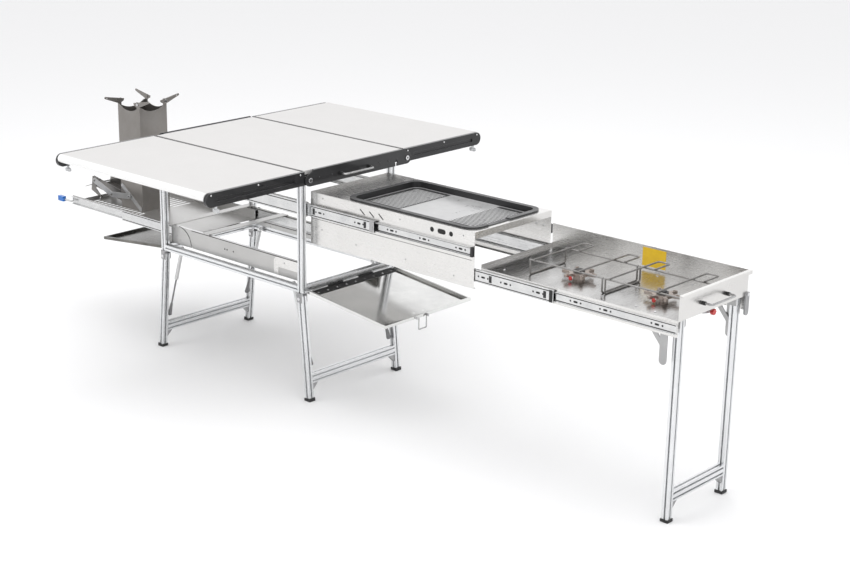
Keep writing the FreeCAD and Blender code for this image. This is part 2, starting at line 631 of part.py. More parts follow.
def make_pan():
    """Cast griddle: rounded rim, sunk floor, two ribbed zones and a pouring lip."""
    rim_z = GRIDDLE_Z1
    rim = rounded_slab(PAN_X0, PAN_X1, PAN_Y0, PAN_Y1, rim_z, rim_z + 6, 52)
    ix0, ix1 = PAN_X0 + PAN_RIM, PAN_X1 - PAN_RIM
    iy0, iy1 = PAN_Y0 + PAN_RIM, PAN_Y1 - PAN_RIM
    tub = rounded_slab(ix0, ix1, iy0, iy1, rim_z - PAN_DEPTH, rim_z, 38)
    wall = 4.0
    well = rounded_slab(ix0 + wall, ix1 - wall, iy0 + wall, iy1 - wall,
                        rim_z - PAN_DEPTH + wall, rim_z + 8, 34)
    spout = rounded_slab(PAN_X1 - 22, PAN_X1 + 2, 128, 246, rim_z + 2.5, rim_z + 9, 6)
    pan = rim.fuse(tub).removeSplitter().cut(well).cut(spout)
    ribs = []
    floor = rim_z - PAN_DEPTH + wall
    count, pitch = 24, 13.0
    y_first = (PAN_Y0 + PAN_Y1) / 2 - pitch * (count - 1) / 2
    for x_start, x_end in ((1046, 1196), (1436, 1590)):
        for i in range(count):
            y = y_first + i * pitch
            ribs.append(block(x_start, x_end, y - 2.6, y + 2.6, floor - 1, floor + 3))
    keep("griddle_pan", pan.fuse(ribs))


# ---------------------------------------------------------------- stove tray
def make_stove_tray():
    x0, x1, y0, y1 = STOVE_X0, STOVE_X1, STOVE_Y0, STOVE_Y1
    z = STOVE_FLOOR
    floor = block(x0, x1 - SHEET, y0, y1 - SHEET, z - SHEET, z)
    floor = floor.fuse(block(x0, x0 + SHEET, y0, y1 - SHEET, z - SHEET, z + 12)).removeSplitter()
    keep("stove_floor", floor)
    keep("stove_walls", block(x0, x1 - SHEET, y0, y0 + SHEET, STOVE_SKIRT, z - SHEET))
    keep("stove_walls", block(x0, x1 - SHEET, y1 - SHEET, y1, STOVE_SKIRT, STOVE_TOP))
    end = block(x1 - SHEET, x1, y0, y1, z - 4, STOVE_TOP)
    lip = block(x1 - SHEET, x1 + 13, y0, y1, STOVE_TOP - 3, STOVE_TOP)
    turn = block(x1 + 11.5, x1 + 13, y0, y1, STOVE_TOP - 12, STOVE_TOP)
    keep("stove_walls", fused([end, lip, turn]))
    screws = [rod((x, y, z), (x, y, z + 2.5), 4)
              for x, y in ((2155, 86), (2294, 79), (2373, 72), (2155, 400), (2294, 400), (1740, 90))]
    keep("stove_fittings", screws)
    standoffs, grip = handle(x1, 176, 313, 735, 36)
    keep("stove_handle", standoffs + [grip])
    for x in BURNER_X:
        make_burner(x, BURNER_Y)
    for start in (1840, 2152):
        make_grate(start, start + 300)
    plate_points = [(2410, STOVE_SKIRT - 0.5), (2438, STOVE_SKIRT - 0.5), (2438, 558), (2410, 558)]
    plate = plate_xz(plate_points, 52, 3, {2: (2424, 544)})
    tab = block(2410, 2438, STOVE_Y0 + SHEET, 55, STOVE_SKIRT, STOVE_SKIRT + 24)
    plate = fused([plate, block(2410, 2438, 52, 55, STOVE_SKIRT - 1, STOVE_SKIRT + 24), tab])
    pivot = rod((2372, STOVE_Y0 + SHEET, 660), (2372, 61.5, 660), 4)
    keep("stove_fittings", both(plate) + both(pivot))
    arm_run = [(2372, 660), (2424, 598)]
    arm = flat_link(arm_run, 56.2, 4.5, 8.0, 4 + RUN)
    keep("leg_braces", both(arm))
    make_regulator()
    latch = block(x1 + 0.3, x1 + 6.3, 424, 446, 644, 712)
    latch = latch.fuse(rod((x1 + 0.3, 435, 644), (x1 + 6.3, 435, 644), 11)).removeSplitter()
    latch_pin = rod((x1, 435, 706), (x1 + 7, 435, 706), 3.5)
    keep("end_latch", latch.cut(rod((x1, 435, 706), (x1 + 9, 435, 706), 3.5 + RUN)))
    latch_head = rod((x1 + 6.6, 435, 706), (x1 + 9, 435, 706), 6)
    keep("stove_fittings", fused([latch_pin, latch_head]))


def flat_link(run, y0, thick, radius, bore):
    """A flat bar with round ends between two pivots in an X-Z plane; bored at the first."""
    a, b = V(run[0][0], y0, run[0][1]), V(run[1][0], y0, run[1][1])
    along = (b - a).normalize()
    side = V(-along.z, 0, along.x) * radius
    edges = [Part.makeLine(a + side, b + side),
             Part.Arc(b + side, b + along * radius, b - side).toShape(),
             Part.makeLine(b - side, a - side),
             Part.Arc(a - side, a - along * radius, a + side).toShape()]
    bar = Part.Face(Part.Wire(edges)).extrude(V(0, thick, 0))
    return bar.cut(Part.makeCylinder(bore, thick + 2, a - V(0, 1, 0), Y_AXIS))


def make_burner(x, y):
    """A cast star burner: central head, radial arms, and a mixing tube underneath."""
    z = STOVE_FLOOR
    foot = rod((x, y, z), (x, y, z + 16), 20)
    ring = rod((x, y, z + 14), (x, y, z + 24), 34)
    arms = []
    for i in range(6):
        arm = block(28, 56, -6, 6, z + 14, z + 24)
        tip = rod((56, 0, z + 14), (56, 0, z + 24), 6)
        stud = rod((50, 0, z + 24), (50, 0, z + 27), 4)
        arm = fused([arm, tip, stud])
        arms.append(moved(turned(arm, (0, 0, 0), Z_AXIS, 60 * i + 15), x, y, 0))
    keep("burners", fused([foot, ring] + arms))
    cap = fused([rod((x, y, z + 24), (x, y, z + 30), 20), rod((x, y, z + 30), (x, y, z + 34), 13)])
    keep("burners", cap)


WIRE_R = 3.0
GRATE_Y0 = 105.0
GRATE_Y1 = 300.0


def make_grate(x0, x1):
    """A wire pot grate: two end frames, front and back rails, two hairpin pot supports."""
    floor_z = STOVE_FLOOR + WIRE_R
    rail_z = 758.0
    wires = []
    for x in (x0, x1):
        wires.append(bent_wire([(x, GRATE_Y0, rail_z), (x, GRATE_Y0, floor_z),
                                (x, GRATE_Y1, floor_z), (x, GRATE_Y1, rail_z)], 7, WIRE_R))
    for y in (GRATE_Y0, GRATE_Y1):
        wires.append(rod((x0 - WIRE_R, y, rail_z), (x1 + WIRE_R, y, rail_z), WIRE_R))
    top_z = rail_z + 1.7 * WIRE_R
    for x in (x0 + 20, x1 - 90):
        wires.append(bent_wire([(x, GRATE_Y0 - 8, top_z), (x, 378, top_z), (x + 44, 378, top_z),
                                (x + 44, GRATE_Y1 - 8, top_z)], 9, WIRE_R))
    result = wires[0]
    for wire in wires[1:]:
        result = result.fuse(wire)
    keep("pot_grates", result)


def make_regulator():
    """Gas inlet regulator under the tray: round housing, spigot and turning knob."""
    x, y = 2428.0, 258.0
    top = STOVE_FLOOR - SHEET
    housing = fused([rod((x, y, top - 26), (x, y, top - 12), 26), rod((x, y, top - 12), (x, y, top), 11),
                     rod((x + 20, y, top - 19), (x + 34, y, top - 19), 6),
                     rod((x + 34, y, top - 19), (x + 43, y, top - 19), 3)])
    keep("gas_regulator", housing)
    knob = rod((x + 34.3, y, top - 19), (x + 46, y, top - 19), 9)
    ridges = [turned(block(x + 34.3, x + 46, y + 8, y + 10.5, top - 20.5, top - 17.5),
                     (x, y, top - 19), X_AXIS, 60 * i) for i in range(6)]
    spindle = rod((x + 30, y, top - 19), (x + 43.3, y, top - 19), 3 + RUN)
    keep("gas_valve_knob", fused([knob] + ridges).cut(spindle))


def make_stove_legs():
    x, z = STOVE_LEG_X, STOVE_LEG_Z
    legs, caps, brackets, pins, gussets = [], [], [], [], []
    for y in STOVE_LEG_Y:
        leg = moved(profile(z + 9 - 4), x, y, 4)
        hole = rod((x, y - 30, z), (x, y + 30, z), LEG_PIN_R + RUN)
        legs.append(leg.cut(hole))
        caps.append(block(x - 15, x + 15, y - 15, y + 15, 0, FOOT_CAP).cut(
            block(x - HALF, x + HALF, y - HALF, y + HALF, 4, 30)))
        ears = []
        for ear_y in (y - HALF - 3.6, y + HALF + 0.6):
            ears.append(block(x - 13, x + 13, ear_y, ear_y + 3, z - 14, STOVE_FLOOR - SHEET))
        ears = [e.cut(rod((x, y - 30, z), (x, y + 30, z), LEG_PIN_R)) for e in ears]
        brackets += ears
        pins.append(rod((x, y - HALF - 5, z), (x, y + HALF + 5, z), LEG_PIN_R))
    y_a, y_b = STOVE_LEG_Y[0] + HALF, STOVE_LEG_Y[1] - HALF
    bar = profile_y(y_a, y_b, x, CROSSBAR_Z, CROSSBAR_H)
    low = CROSSBAR_Z - CROSSBAR_H / 2
    for y, s in ((y_a, 1), (y_b, -1)):
        gussets.append(plate_yz([(y, low), (y + 30 * s, low), (y, low - 30)], x - 9, 18))
    keep("stove_legs", legs + [bar] + gussets + caps)
    keep("stove_fittings", brackets + pins)


# ---------------------------------------------------------------- rack and rocket stove
def make_rack():
    x0, x1, y0, y1 = RACK_X0, RACK_X1, RACK_Y0, POST_SPAN_Y - RACK_Y0
    z = RACK_Z
    slots = []
    for i in range(13):
        x = x0 + 22 + i * 27
        for ya, yb in ((y0 + 14, COLUMN_Y0 - 2), (COLUMN_Y1 + 2, y1 - 22)):
            slots.append(block(x, x + 12, ya, yb, z - 3, z + 1))
    plate = cut(block(x0, x1, y0, y1, z - SHEET, z), slots)
    walls = [block(x0, x1, y, y + SHEET, z, z + 40) for y in (y0, y1 - SHEET)]
    # the end lip is notched where the chute's feet cross it
    notch = 5.5
    edges = [y0 + SHEET, CHUTE_Y0 - notch, CHUTE_Y0 + 2, CHUTE_Y1 - 2, CHUTE_Y1 + notch, y1 - SHEET]
    lips = [block(x0, x0 + SHEET, ya, yb, z, z + 14) for ya, yb in zip(edges[::2], edges[1::2])]
    keep("rack_plate", [plate] + walls + lips)
    outer = slide_member(20, 800, 26.0, 1.6, 38.4, RACK_SLIDE_Z, SLIDE_H)
    middle = slide_member(-330, 430, 29.8, 1.6, 39.0, RACK_SLIDE_Z, MID_H)
    inner = slide_member(x0, x1, y0 - 0.1, 1.5, 33.0, RACK_SLIDE_Z, INNER_H)
    keep("slide_outers", both(outer))
    keep("rack_slide_middles", both(middle))
    keep("rack_slide_inners", both(inner))
    # side guide panels: the left end is cut to a curve, the right end carries a tab
    outline = [(144, 463), (810, 463), (810, 539.3), (16, 539.3)]
    panel = plate_xz(outline, 24.3, SHEET, {3: (98, 515)})
    holes = [rod((x, 20, 502), (x, 30, 502), 3) for x in (348, 362, 400)]
    panel = cut(panel, holes)
    bars = [block(-8, 30, HALF, POST_SPAN_Y - HALF, 539.3, 543.3),
            block(214, 252, 24.3, POST_SPAN_Y - 24.3, 539.3, 543.3)]
    keep("rack_guides", both(panel) + bars)
    lever = fused([block(x0 - 42, x0 + 18, 20.5, 25.5, 506, 514),
                   block(x0 - 76, x0 - 38, 15, 31, 500, 522)])
    lever = lever.cut(rod((x0 + 8, 10, 510), (x0 + 8, 40, 510), 2 + RUN))
    keep("rack_release_lever", lever)
    keep("rack_slide_inners", rod((x0 + 8, 20, 510), (x0 + 8, y0 - 1.6, 510), 2))
    make_rocket_stove()


def make_rocket_stove():
    x0, x1, y0, y1 = COLUMN_X0, COLUMN_X1, COLUMN_Y0, COLUMN_Y1
    z0, z1 = RACK_Z, COLUMN_TOP
    tube = block(x0, x1, y0, y1, z0, z1).cut(block(x0 + SHEET, x1 - SHEET, y0 + SHEET, y1 - SHEET,
                                                 z0 - 1, z1 + 1))
    mid_x, mid_y, scallop = (x0 + x1) / 2, (y0 + y1) / 2, 112.0
    dip = 22.0
    tools = [rod((mid_x, y0 - 5, z1 + scallop - dip), (mid_x, y1 + 5, z1 + scallop - dip), scallop),
             rod((x0 - 5, mid_y, z1 + scallop - dip), (x1 + 5, mid_y, z1 + scallop - dip), scallop),
             block(x0 - 5, x0 + 5, mid_y - 52, mid_y + 52, z0 + 14, z0 + 104)]
    half = COLUMN_W / 2
    tab = block(half - SHEET, half, half - 19, half, z1 - 24, z1 + 24)
    tabs = [moved(turned(tab, (0, 0, 0), Z_AXIS, 90 * i), mid_x, mid_y, 0) for i in range(4)]
    keep("stove_column", fused([cut(tube, tools)] + tabs))
    # shallow fuel chute that rises from the column's left face, on two bent feet
    chute_y0, chute_y1 = CHUTE_Y0, CHUTE_Y1
    sheets = [block(-CHUTE_LEN, 0, chute_y0, chute_y1, 0, SHEET)]
    sheets += [block(-CHUTE_LEN, 0, y, y + SHEET, SHEET, CHUTE_WALL) for y in (chute_y0, chute_y1 - SHEET)]
    trim = block(x0 - 0.2, x0 + 60, 0, POST_SPAN_Y, z0 - 20, z0 + 200)
    chute = [moved(turned(sheet, (0, 0, 0), Y_AXIS, CHUTE_RISE), x0 + 1, 0, z0 + 8).cut(trim)
             for sheet in sheets]
    feet = []
    foot_outline = [(x0 - 252, z0 + 28), (x0 - 240, z0 + 93), (x0 - 206, z0 + 93), (x0 - 218, z0 + 40),
                    (x0 - 168, z0), (x0 - 182, z0)]
    for y in (chute_y0 - 3, chute_y1):
        feet.append(plate_xz(foot_outline, y, 3))
    # bent link and brace in front of the column, on spacers
    link_y = y0 - 8
    link_ends = [(x0 - 186, z0 + 86), (x0 - 62, z0 + 44), (x0 + 62, z0 + 58)]
    links = [flat_link(link_ends[0:2], link_y, 4, 12, 4), flat_link(link_ends[1:3], link_y, 4, 12, 4),
             flat_link([(x0 + 12, z0 + 98), (x1 - 14, z0 + 12)], y0 - 3.2, 3, 9, 3)]
    link = links[0].fuse(links[1]).cut(rod((link_ends[1][0], link_y - 1, link_ends[1][1]),
                                           (link_ends[1][0], link_y + 5, link_ends[1][1]), 4))
    bolts = [rod((x, link_y - 3, z), (x, end_y, z), 4)
             for (x, z), end_y in zip(link_ends, (chute_y0, chute_y0, y0))]
    bolts.append(rod((x0 + 12, y0 - 6, z0 + 98), (x0 + 12, y0, z0 + 98), 3))
    flap_x, flap_z = x0 - 233, z0 + 59
    pin = rod((flap_x, chute_y0 + SHEET, flap_z), (flap_x, chute_y1 - SHEET, flap_z), 1.5)
    keep("fuel_chute", chute + feet + [link, links[2], pin] + bolts)
    barrel = rod((flap_x, chute_y0 + 4, flap_z), (flap_x, chute_y1 - 4, flap_z), 3)
    flap = block(flap_x - 80, flap_x - 1, chute_y0 + 4, chute_y1 - 4, flap_z - 1, flap_z + 1)
    flap = fused([flap, barrel]).cut(rod((flap_x, chute_y0, flap_z), (flap_x, chute_y1, flap_z), 1.5 + RUN))
    keep("chute_flap", turned(flap, (flap_x, 0, flap_z), Y_AXIS, -20))
    make_pot_arms()


ARM_LEN = 74.0
ARM_BACK = 26.0
ARM_RISE = 14.0              # degrees above level


def make_pot_arms():
    """Four tapered arms, each lying against one face and pinned near a corner, set like a pinwheel."""
    mid_x, mid_y, half = (COLUMN_X0 + COLUMN_X1) / 2, MID_Y, COLUMN_W / 2
    pivot_y, pivot_z = half - 8, COLUMN_TOP + 14
    outline = [(pivot_y - ARM_BACK, 11), (pivot_y + ARM_LEN, 5), (pivot_y + ARM_LEN, -5), (pivot_y + 6, -13),
               (pivot_y - 8, -13), (pivot_y - ARM_BACK, 2)]
    arm = plate_yz(outline, half + 0.4, 3.0, {1: (pivot_y + ARM_LEN + 5, 0)})
    arm = arm.cut(rod((half - 5, pivot_y, 0), (half + 9, pivot_y, 0), 4 + RUN))
    arm = arm.cut(rod((half - 5, pivot_y + ARM_LEN - 8, 0), (half + 9, pivot_y + ARM_LEN - 8, 0), 2.5))
    arm = turned(arm, (0, pivot_y, 0), X_AXIS, ARM_RISE)
    pin = fused([rod((half, pivot_y, 0), (half + 3.8, pivot_y, 0), 4),
                 rod((half + 3.8, pivot_y, 0), (half + 6.4, pivot_y, 0), 6)])
    pins = []
    for i, name in enumerate(("right_back", "left_back", "left_front", "right_front")):
        placed = [moved(turned(piece, (0, 0, 0), Z_AXIS, 90 * i), mid_x, mid_y, pivot_z)
                  for piece in (arm, pin)]
        keep("pot_arm_" + name, placed[0])
        pins.append(placed[1])
    keep("arm_pins", pins)


# ---------------------------------------------------------------- export
def export_all():
    everything = Part.makeCompound([s for shapes in NODES.values() for s in shapes])
    box = everything.BoundBox
    shift = V(-(box.XMin + box.XMax) / 2, -(box.YMin + box.YMax) / 2, -box.ZMin)
    print("shift", round(shift.x, 4), round(shift.y, 4), round(shift.z, 4))
    print("size", round(box.XLength, 1), round(box.YLength, 1), round(box.ZLength, 1))
    os.makedirs("parts", exist_ok=True)
    for name, shapes in NODES.items():
        solid = shapes[0] if len(shapes) == 1 else Part.makeCompound(shapes)
        solid = solid.copy()
        solid.translate(shift)
        solid.exportStep("parts/%s.step" % name)
    print(len(NODES), "nodes")


make_frame()
make_leg_brackets()
make_griddle_slides()
make_stove_slides()
make_leaf("near_leaf", NEAR_SEAM, NEAR_END, NEAR_PIVOT_Y)
make_leaf("far_leaf", FAR_SEAM, FAR_END, FAR_PIVOT_Y)
make_centre_top()
make_thumb_knobs()
make_legs_and_struts()
make_trays()
make_griddle_drawer()
make_stove_tray()
make_stove_legs()
make_rack()
export_all()
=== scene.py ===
import json
import math
import bmesh
import bpy
from mathutils import Matrix, Vector


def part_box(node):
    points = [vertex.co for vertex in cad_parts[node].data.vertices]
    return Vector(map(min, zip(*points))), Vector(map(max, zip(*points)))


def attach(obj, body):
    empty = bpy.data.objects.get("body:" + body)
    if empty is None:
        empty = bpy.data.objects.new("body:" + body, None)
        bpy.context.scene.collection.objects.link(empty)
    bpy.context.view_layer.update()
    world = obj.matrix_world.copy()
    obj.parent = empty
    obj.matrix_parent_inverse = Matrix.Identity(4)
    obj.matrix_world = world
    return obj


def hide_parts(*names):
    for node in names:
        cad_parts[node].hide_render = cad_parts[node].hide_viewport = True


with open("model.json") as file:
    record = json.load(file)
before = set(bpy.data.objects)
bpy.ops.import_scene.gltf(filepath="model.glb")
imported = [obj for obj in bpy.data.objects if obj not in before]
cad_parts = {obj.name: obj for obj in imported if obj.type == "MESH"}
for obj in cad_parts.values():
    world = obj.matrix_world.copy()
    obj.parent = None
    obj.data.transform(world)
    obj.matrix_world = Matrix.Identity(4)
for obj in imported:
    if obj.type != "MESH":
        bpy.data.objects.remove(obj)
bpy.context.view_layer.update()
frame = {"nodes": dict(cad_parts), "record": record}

# Camp kitchen table, deployed. Metres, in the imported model's frame: +X runs from the
# rocket stove end to the gas stove end, +Y from the near leaf to the far leaf, +Z up.
MM = 0.001
HALF_PROFILE = 12.7                      # half the side of the slotted profile, mm
post_low, post_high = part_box("corner_posts")
# the lengthwise middle plane, mm from the near posts' axes
MID_Y = (post_high[1] - post_low[1]) / 2 / MM - HALF_PROFILE
ORIGIN = Vector((post_low[0] + HALF_PROFILE * MM, post_low[1] + HALF_PROFILE * MM, 0))


def at(x, y, z):
    """A point given in mm from the near left post's axis, at ground level."""
    return ORIGIN + Vector((x, y, z)) * MM


# ---------------------------------------------------------------- materials
def new_material(name):
    mat = bpy.data.materials.new(name)
    mat.use_nodes = True
    nodes = mat.node_tree.nodes
    return mat, nodes, mat.node_tree.links, nodes["Principled BSDF"]


def mapped_noise(nodes, links, coord, stretch, scale, detail=3.0, rough=0.55):
    """Noise over the object's own coordinates, stretched per axis."""
    mapping = nodes.new("ShaderNodeMapping")
    mapping.inputs["Scale"].default_value = stretch
    links.new(coord, mapping.inputs["Vector"])
    noise = nodes.new("ShaderNodeTexNoise")
    noise.inputs["Scale"].default_value = scale
    noise.inputs["Detail"].default_value = detail
    noise.inputs["Roughness"].default_value = rough
    links.new(mapping.outputs["Vector"], noise.inputs["Vector"])
    return noise.outputs["Fac"]


def remap(nodes, links, value, low, high, to_low, to_high):
    node = nodes.new("ShaderNodeMapRange")
    node.inputs["From Min"].default_value = low
    node.inputs["From Max"].default_value = high
    node.inputs["To Min"].default_value = to_low
    node.inputs["To Max"].default_value = to_high
    links.new(value, node.inputs["Value"])
    return node.outputs["Result"]


def product(nodes, links, a, b):
    node = nodes.new("ShaderNodeMath")
    node.operation = "MULTIPLY"
    links.new(a, node.inputs[0])
    links.new(b, node.inputs[1])
    return node.outputs[0]


def mixed(nodes, links, factor, a, b):
    """A colour between a and b. Each is an (r, g, b) or an output socket."""
    node = nodes.new("ShaderNodeMix")
    node.data_type = "RGBA"
    links.new(factor, node.inputs["Factor"])
    for value, socket in ((a, node.inputs[6]), (b, node.inputs[7])):
        if isinstance(value, bpy.types.NodeSocket):
            links.new(value, socket)
        else:
            socket.default_value = (*value, 1)
    return node.outputs[2]


# the cosine between a face and its rounded normal, from a full edge to a flat
EDGE_FULL, EDGE_NONE = 0.72, 0.995
EDGE_WEAR_AND_HIGHLIGHT_WIDTH, PAN_HIGHLIGHT_WIDTH = 0.0009, 0.0012     # how wide the lighter band along edges is, m: partly wear and partly a painted highlight, and on the pan a painted highlight


def edge_mask(nodes, links, radius):
    """1 on convex and concave edges, 0 on flats, with the rounded normal that goes with it."""
    bevel = nodes.new("ShaderNodeBevel")
    bevel.samples = 4
    bevel.inputs["Radius"].default_value = radius
    geometry = nodes.new("ShaderNodeNewGeometry")
    dot = nodes.new("ShaderNodeVectorMath")
    dot.operation = "DOT_PRODUCT"
    links.new(bevel.outputs["Normal"], dot.inputs[0])
    links.new(geometry.outputs["True Normal"], dot.inputs[1])
    mask = remap(nodes, links, dot.outputs["Value"], EDGE_FULL, EDGE_NONE, 1.0, 0.0)
    return mask, bevel.outputs["Normal"]


# where the noise of each layer of a finish begins and ends to show, and how strongly it does
BLOTCH_NOISE = (0.32, 0.70)
GRAIN_NOISE, GRAIN_SHOWS, GRAIN_DARKER = (0.30, 0.72), 0.22, 0.80
ROUGH_NOISE = (0.25, 0.75)
SPECKLE_SCALE, SPECKLE_NOISE, SPECKLE_SHOWS = 1500.0, (0.60, 0.68), 0.15
# how strongly the lighter edges show: partly wear, partly a painted highlight
EDGE_WEAR_AND_HIGHLIGHT_SHOWS = 0.65
BUMP_HEIGHT = 0.0004                     # m


def finish(name, base, shade, metallic, rough, stretch=(1, 1, 1), grain=260.0, bump=0.05,
           edge_wear_and_highlight=None, spread=0.10, blotch=9.0, coat=0.0, speckle=None):
    """A worked surface: grain along one direction, soft blotches, and lighter edges that are partly wear and
    partly a painted highlight.
    """
    mat, nodes, links, shader = new_material(name)
    coord = nodes.new("ShaderNodeTexCoord").outputs["Object"]
    grain_out = mapped_noise(nodes, links, coord, stretch, grain)
    blotch_out = mapped_noise(nodes, links, coord, (1, 1, 1), blotch, 4.0, 0.6)
    tint = remap(nodes, links, blotch_out, *BLOTCH_NOISE, 0.0, 1.0)
    colour = mixed(nodes, links, tint, base, shade)
    fine = remap(nodes, links, grain_out, *GRAIN_NOISE, 0.0, GRAIN_SHOWS)
    colour = mixed(nodes, links, fine, colour, tuple(c * GRAIN_DARKER for c in base))
    if speckle:
        dots = mapped_noise(nodes, links, coord, (1, 1, 1), SPECKLE_SCALE, 2.0, 0.5)
        specks = remap(nodes, links, dots, *SPECKLE_NOISE, 0.0, SPECKLE_SHOWS)
        colour = mixed(nodes, links, specks, colour, speckle)
    mask, rounded = edge_mask(nodes, links, EDGE_WEAR_AND_HIGHLIGHT_WIDTH)
    # edges painted lighter: partly wear, partly a painted highlight
    if edge_wear_and_highlight:
        colour = mixed(nodes, links, remap(nodes, links, mask, 0.0, 1.0, 0.0, EDGE_WEAR_AND_HIGHLIGHT_SHOWS), colour, edge_wear_and_highlight)
    links.new(colour, shader.inputs["Base Color"])
    links.new(remap(nodes, links, grain_out, *ROUGH_NOISE, rough - spread, rough + spread),
              shader.inputs["Roughness"])
    bumps = nodes.new("ShaderNodeBump")
    bumps.inputs["Strength"].default_value = bump
    bumps.inputs["Distance"].default_value = BUMP_HEIGHT
    links.new(grain_out, bumps.inputs["Height"])
    links.new(rounded, bumps.inputs["Normal"])
    links.new(bumps.outputs["Normal"], shader.inputs["Normal"])
    shader.inputs["Metallic"].default_value = metallic
    shader.inputs["Coat Weight"].default_value = coat
    return mat


# stretches of the grain's noise, for a surface brushed along one axis
ALONG_X, ALONG_Y, ALONG_Z = (0.02, 1, 1), (1, 0.02, 1), (1, 1, 0.02)
# the steel's edge colour is lighter: partly wear, partly a painted highlight
STEEL, STEEL_SHADE, STEEL_EDGE_WEAR_AND_HIGHLIGHT = (0.76, 0.75, 0.735), (0.70, 0.69, 0.675), (0.94, 0.94, 0.93)
laminate = finish("laminate", (0.575, 0.565, 0.555), (0.56, 0.55, 0.54), metallic=0.0, rough=0.42,
                  grain=420, bump=0.01, edge_wear_and_highlight=(0.72, 0.71, 0.69), spread=0.04, speckle=(0.52, 0.51, 0.50))
nosing = finish("nosing", (0.88, 0.88, 0.87), (0.84, 0.84, 0.83), metallic=0.1, rough=0.26, stretch=ALONG_X,
                grain=500, bump=0.03, edge_wear_and_highlight=(0.92, 0.92, 0.92), spread=0.06)
black_rail = finish("black_rail", (0.013, 0.013, 0.014), (0.022, 0.022, 0.024), metallic=0.55, rough=0.34,
                    stretch=ALONG_Y, grain=700, edge_wear_and_highlight=(0.34, 0.34, 0.35), spread=0.08, coat=0.4)
black_plate = finish("black_plate", (0.012, 0.012, 0.013), (0.022, 0.022, 0.024), metallic=0.3, rough=0.42,
                     grain=900, bump=0.10, edge_wear_and_highlight=(0.34, 0.34, 0.35), coat=0.4)
profile_x = finish("profile_x", (0.80, 0.81, 0.82), (0.72, 0.73, 0.74), metallic=0.9, rough=0.27,
                   stretch=ALONG_X, grain=700, bump=0.06, edge_wear_and_highlight=(0.93, 0.93, 0.94), spread=0.08)
profile_z = finish("profile_z", (0.80, 0.81, 0.82), (0.72, 0.73, 0.74), metallic=0.9, rough=0.27,
                   stretch=ALONG_Z, grain=700, bump=0.06, edge_wear_and_highlight=(0.93, 0.93, 0.94), spread=0.08)
brushed_x = finish("brushed_x", STEEL, STEEL_SHADE, metallic=1.0, rough=0.27, stretch=ALONG_X, grain=900,
                   bump=0.015, edge_wear_and_highlight=STEEL_EDGE_WEAR_AND_HIGHLIGHT, spread=0.05, blotch=3.0)
mirror_steel = finish("mirror_steel", (0.80, 0.80, 0.785), (0.66, 0.66, 0.65), metallic=1.0, rough=0.11,
                      stretch=ALONG_X, grain=900, bump=0.02, edge_wear_and_highlight=STEEL_EDGE_WEAR_AND_HIGHLIGHT, spread=0.05, blotch=7.0)
floor_steel = finish("floor_steel", (0.58, 0.575, 0.565), (0.44, 0.435, 0.43), metallic=1.0, rough=0.25,
                     stretch=ALONG_Y, grain=900, bump=0.03, edge_wear_and_highlight=STEEL_EDGE_WEAR_AND_HIGHLIGHT, spread=0.06, blotch=2.5)
panel_steel = finish("panel_steel", (0.56, 0.555, 0.545), (0.50, 0.495, 0.485), metallic=0.9, rough=0.34,
                     stretch=ALONG_X, grain=900, bump=0.03, edge_wear_and_highlight=(0.86, 0.86, 0.85), spread=0.06,
                     blotch=4.0)
# a darker copy of the steel, for painted shade
painted_shade_steel = finish("painted_shade_steel", (0.22, 0.215, 0.20), (0.10, 0.098, 0.09), metallic=0.9, rough=0.20,
                      stretch=ALONG_X, grain=900, bump=0.03, edge_wear_and_highlight=(0.60, 0.60, 0.59), spread=0.06)
stove_steel = finish("stove_steel", (0.30, 0.285, 0.27), (0.23, 0.215, 0.20), metallic=0.9, rough=0.36,
                     stretch=ALONG_Z, grain=800, edge_wear_and_highlight=(0.62, 0.61, 0.59), spread=0.08, blotch=6.0)
chute_steel = finish("chute_steel", (0.24, 0.23, 0.22), (0.13, 0.125, 0.12), metallic=0.9, rough=0.34,
                     stretch=ALONG_X, grain=700, bump=0.06, edge_wear_and_highlight=(0.62, 0.61, 0.60), blotch=12.0)
wire_dark = finish("wire_dark", (0.30, 0.295, 0.29), (0.16, 0.15, 0.14), metallic=0.9, rough=0.30,
                   grain=300, bump=0.03, edge_wear_and_highlight=(0.55, 0.55, 0.55), spread=0.08, blotch=25.0)
wire_bar = finish("wire_bar", (0.50, 0.50, 0.50), (0.36, 0.36, 0.36), metallic=0.9, rough=0.26, grain=300,
                  bump=0.03, edge_wear_and_highlight=(0.75, 0.75, 0.75), spread=0.08, blotch=25.0)
leg_plate = finish("leg_plate", (0.45, 0.45, 0.45), (0.36, 0.36, 0.36), metallic=0.8, rough=0.36,
                   stretch=ALONG_Z, grain=500, edge_wear_and_highlight=(0.72, 0.72, 0.72), spread=0.08, blotch=14.0)
burner_plated = finish("burner_plated", (0.46, 0.40, 0.36), (0.30, 0.25, 0.22), metallic=0.9, rough=0.34,
                       grain=600, bump=0.15, edge_wear_and_highlight=(0.70, 0.66, 0.62), blotch=35.0)
plated = finish("plated", (0.70, 0.70, 0.695), (0.58, 0.585, 0.59), metallic=1.0, rough=0.25,
                stretch=ALONG_X, grain=600, edge_wear_and_highlight=(0.88, 0.88, 0.88), spread=0.09, blotch=16.0)
grey_metal = finish("grey_metal", (0.40, 0.40, 0.405), (0.33, 0.33, 0.335), metallic=0.7, rough=0.38,
                    grain=500, bump=0.08, edge_wear_and_highlight=(0.62, 0.62, 0.62), spread=0.08, blotch=22.0)
chrome = finish("chrome", (0.72, 0.72, 0.73), (0.60, 0.60, 0.61), metallic=1.0, rough=0.13, grain=300,
                bump=0.02, edge_wear_and_highlight=(0.93, 0.93, 0.93), spread=0.04, blotch=30.0)
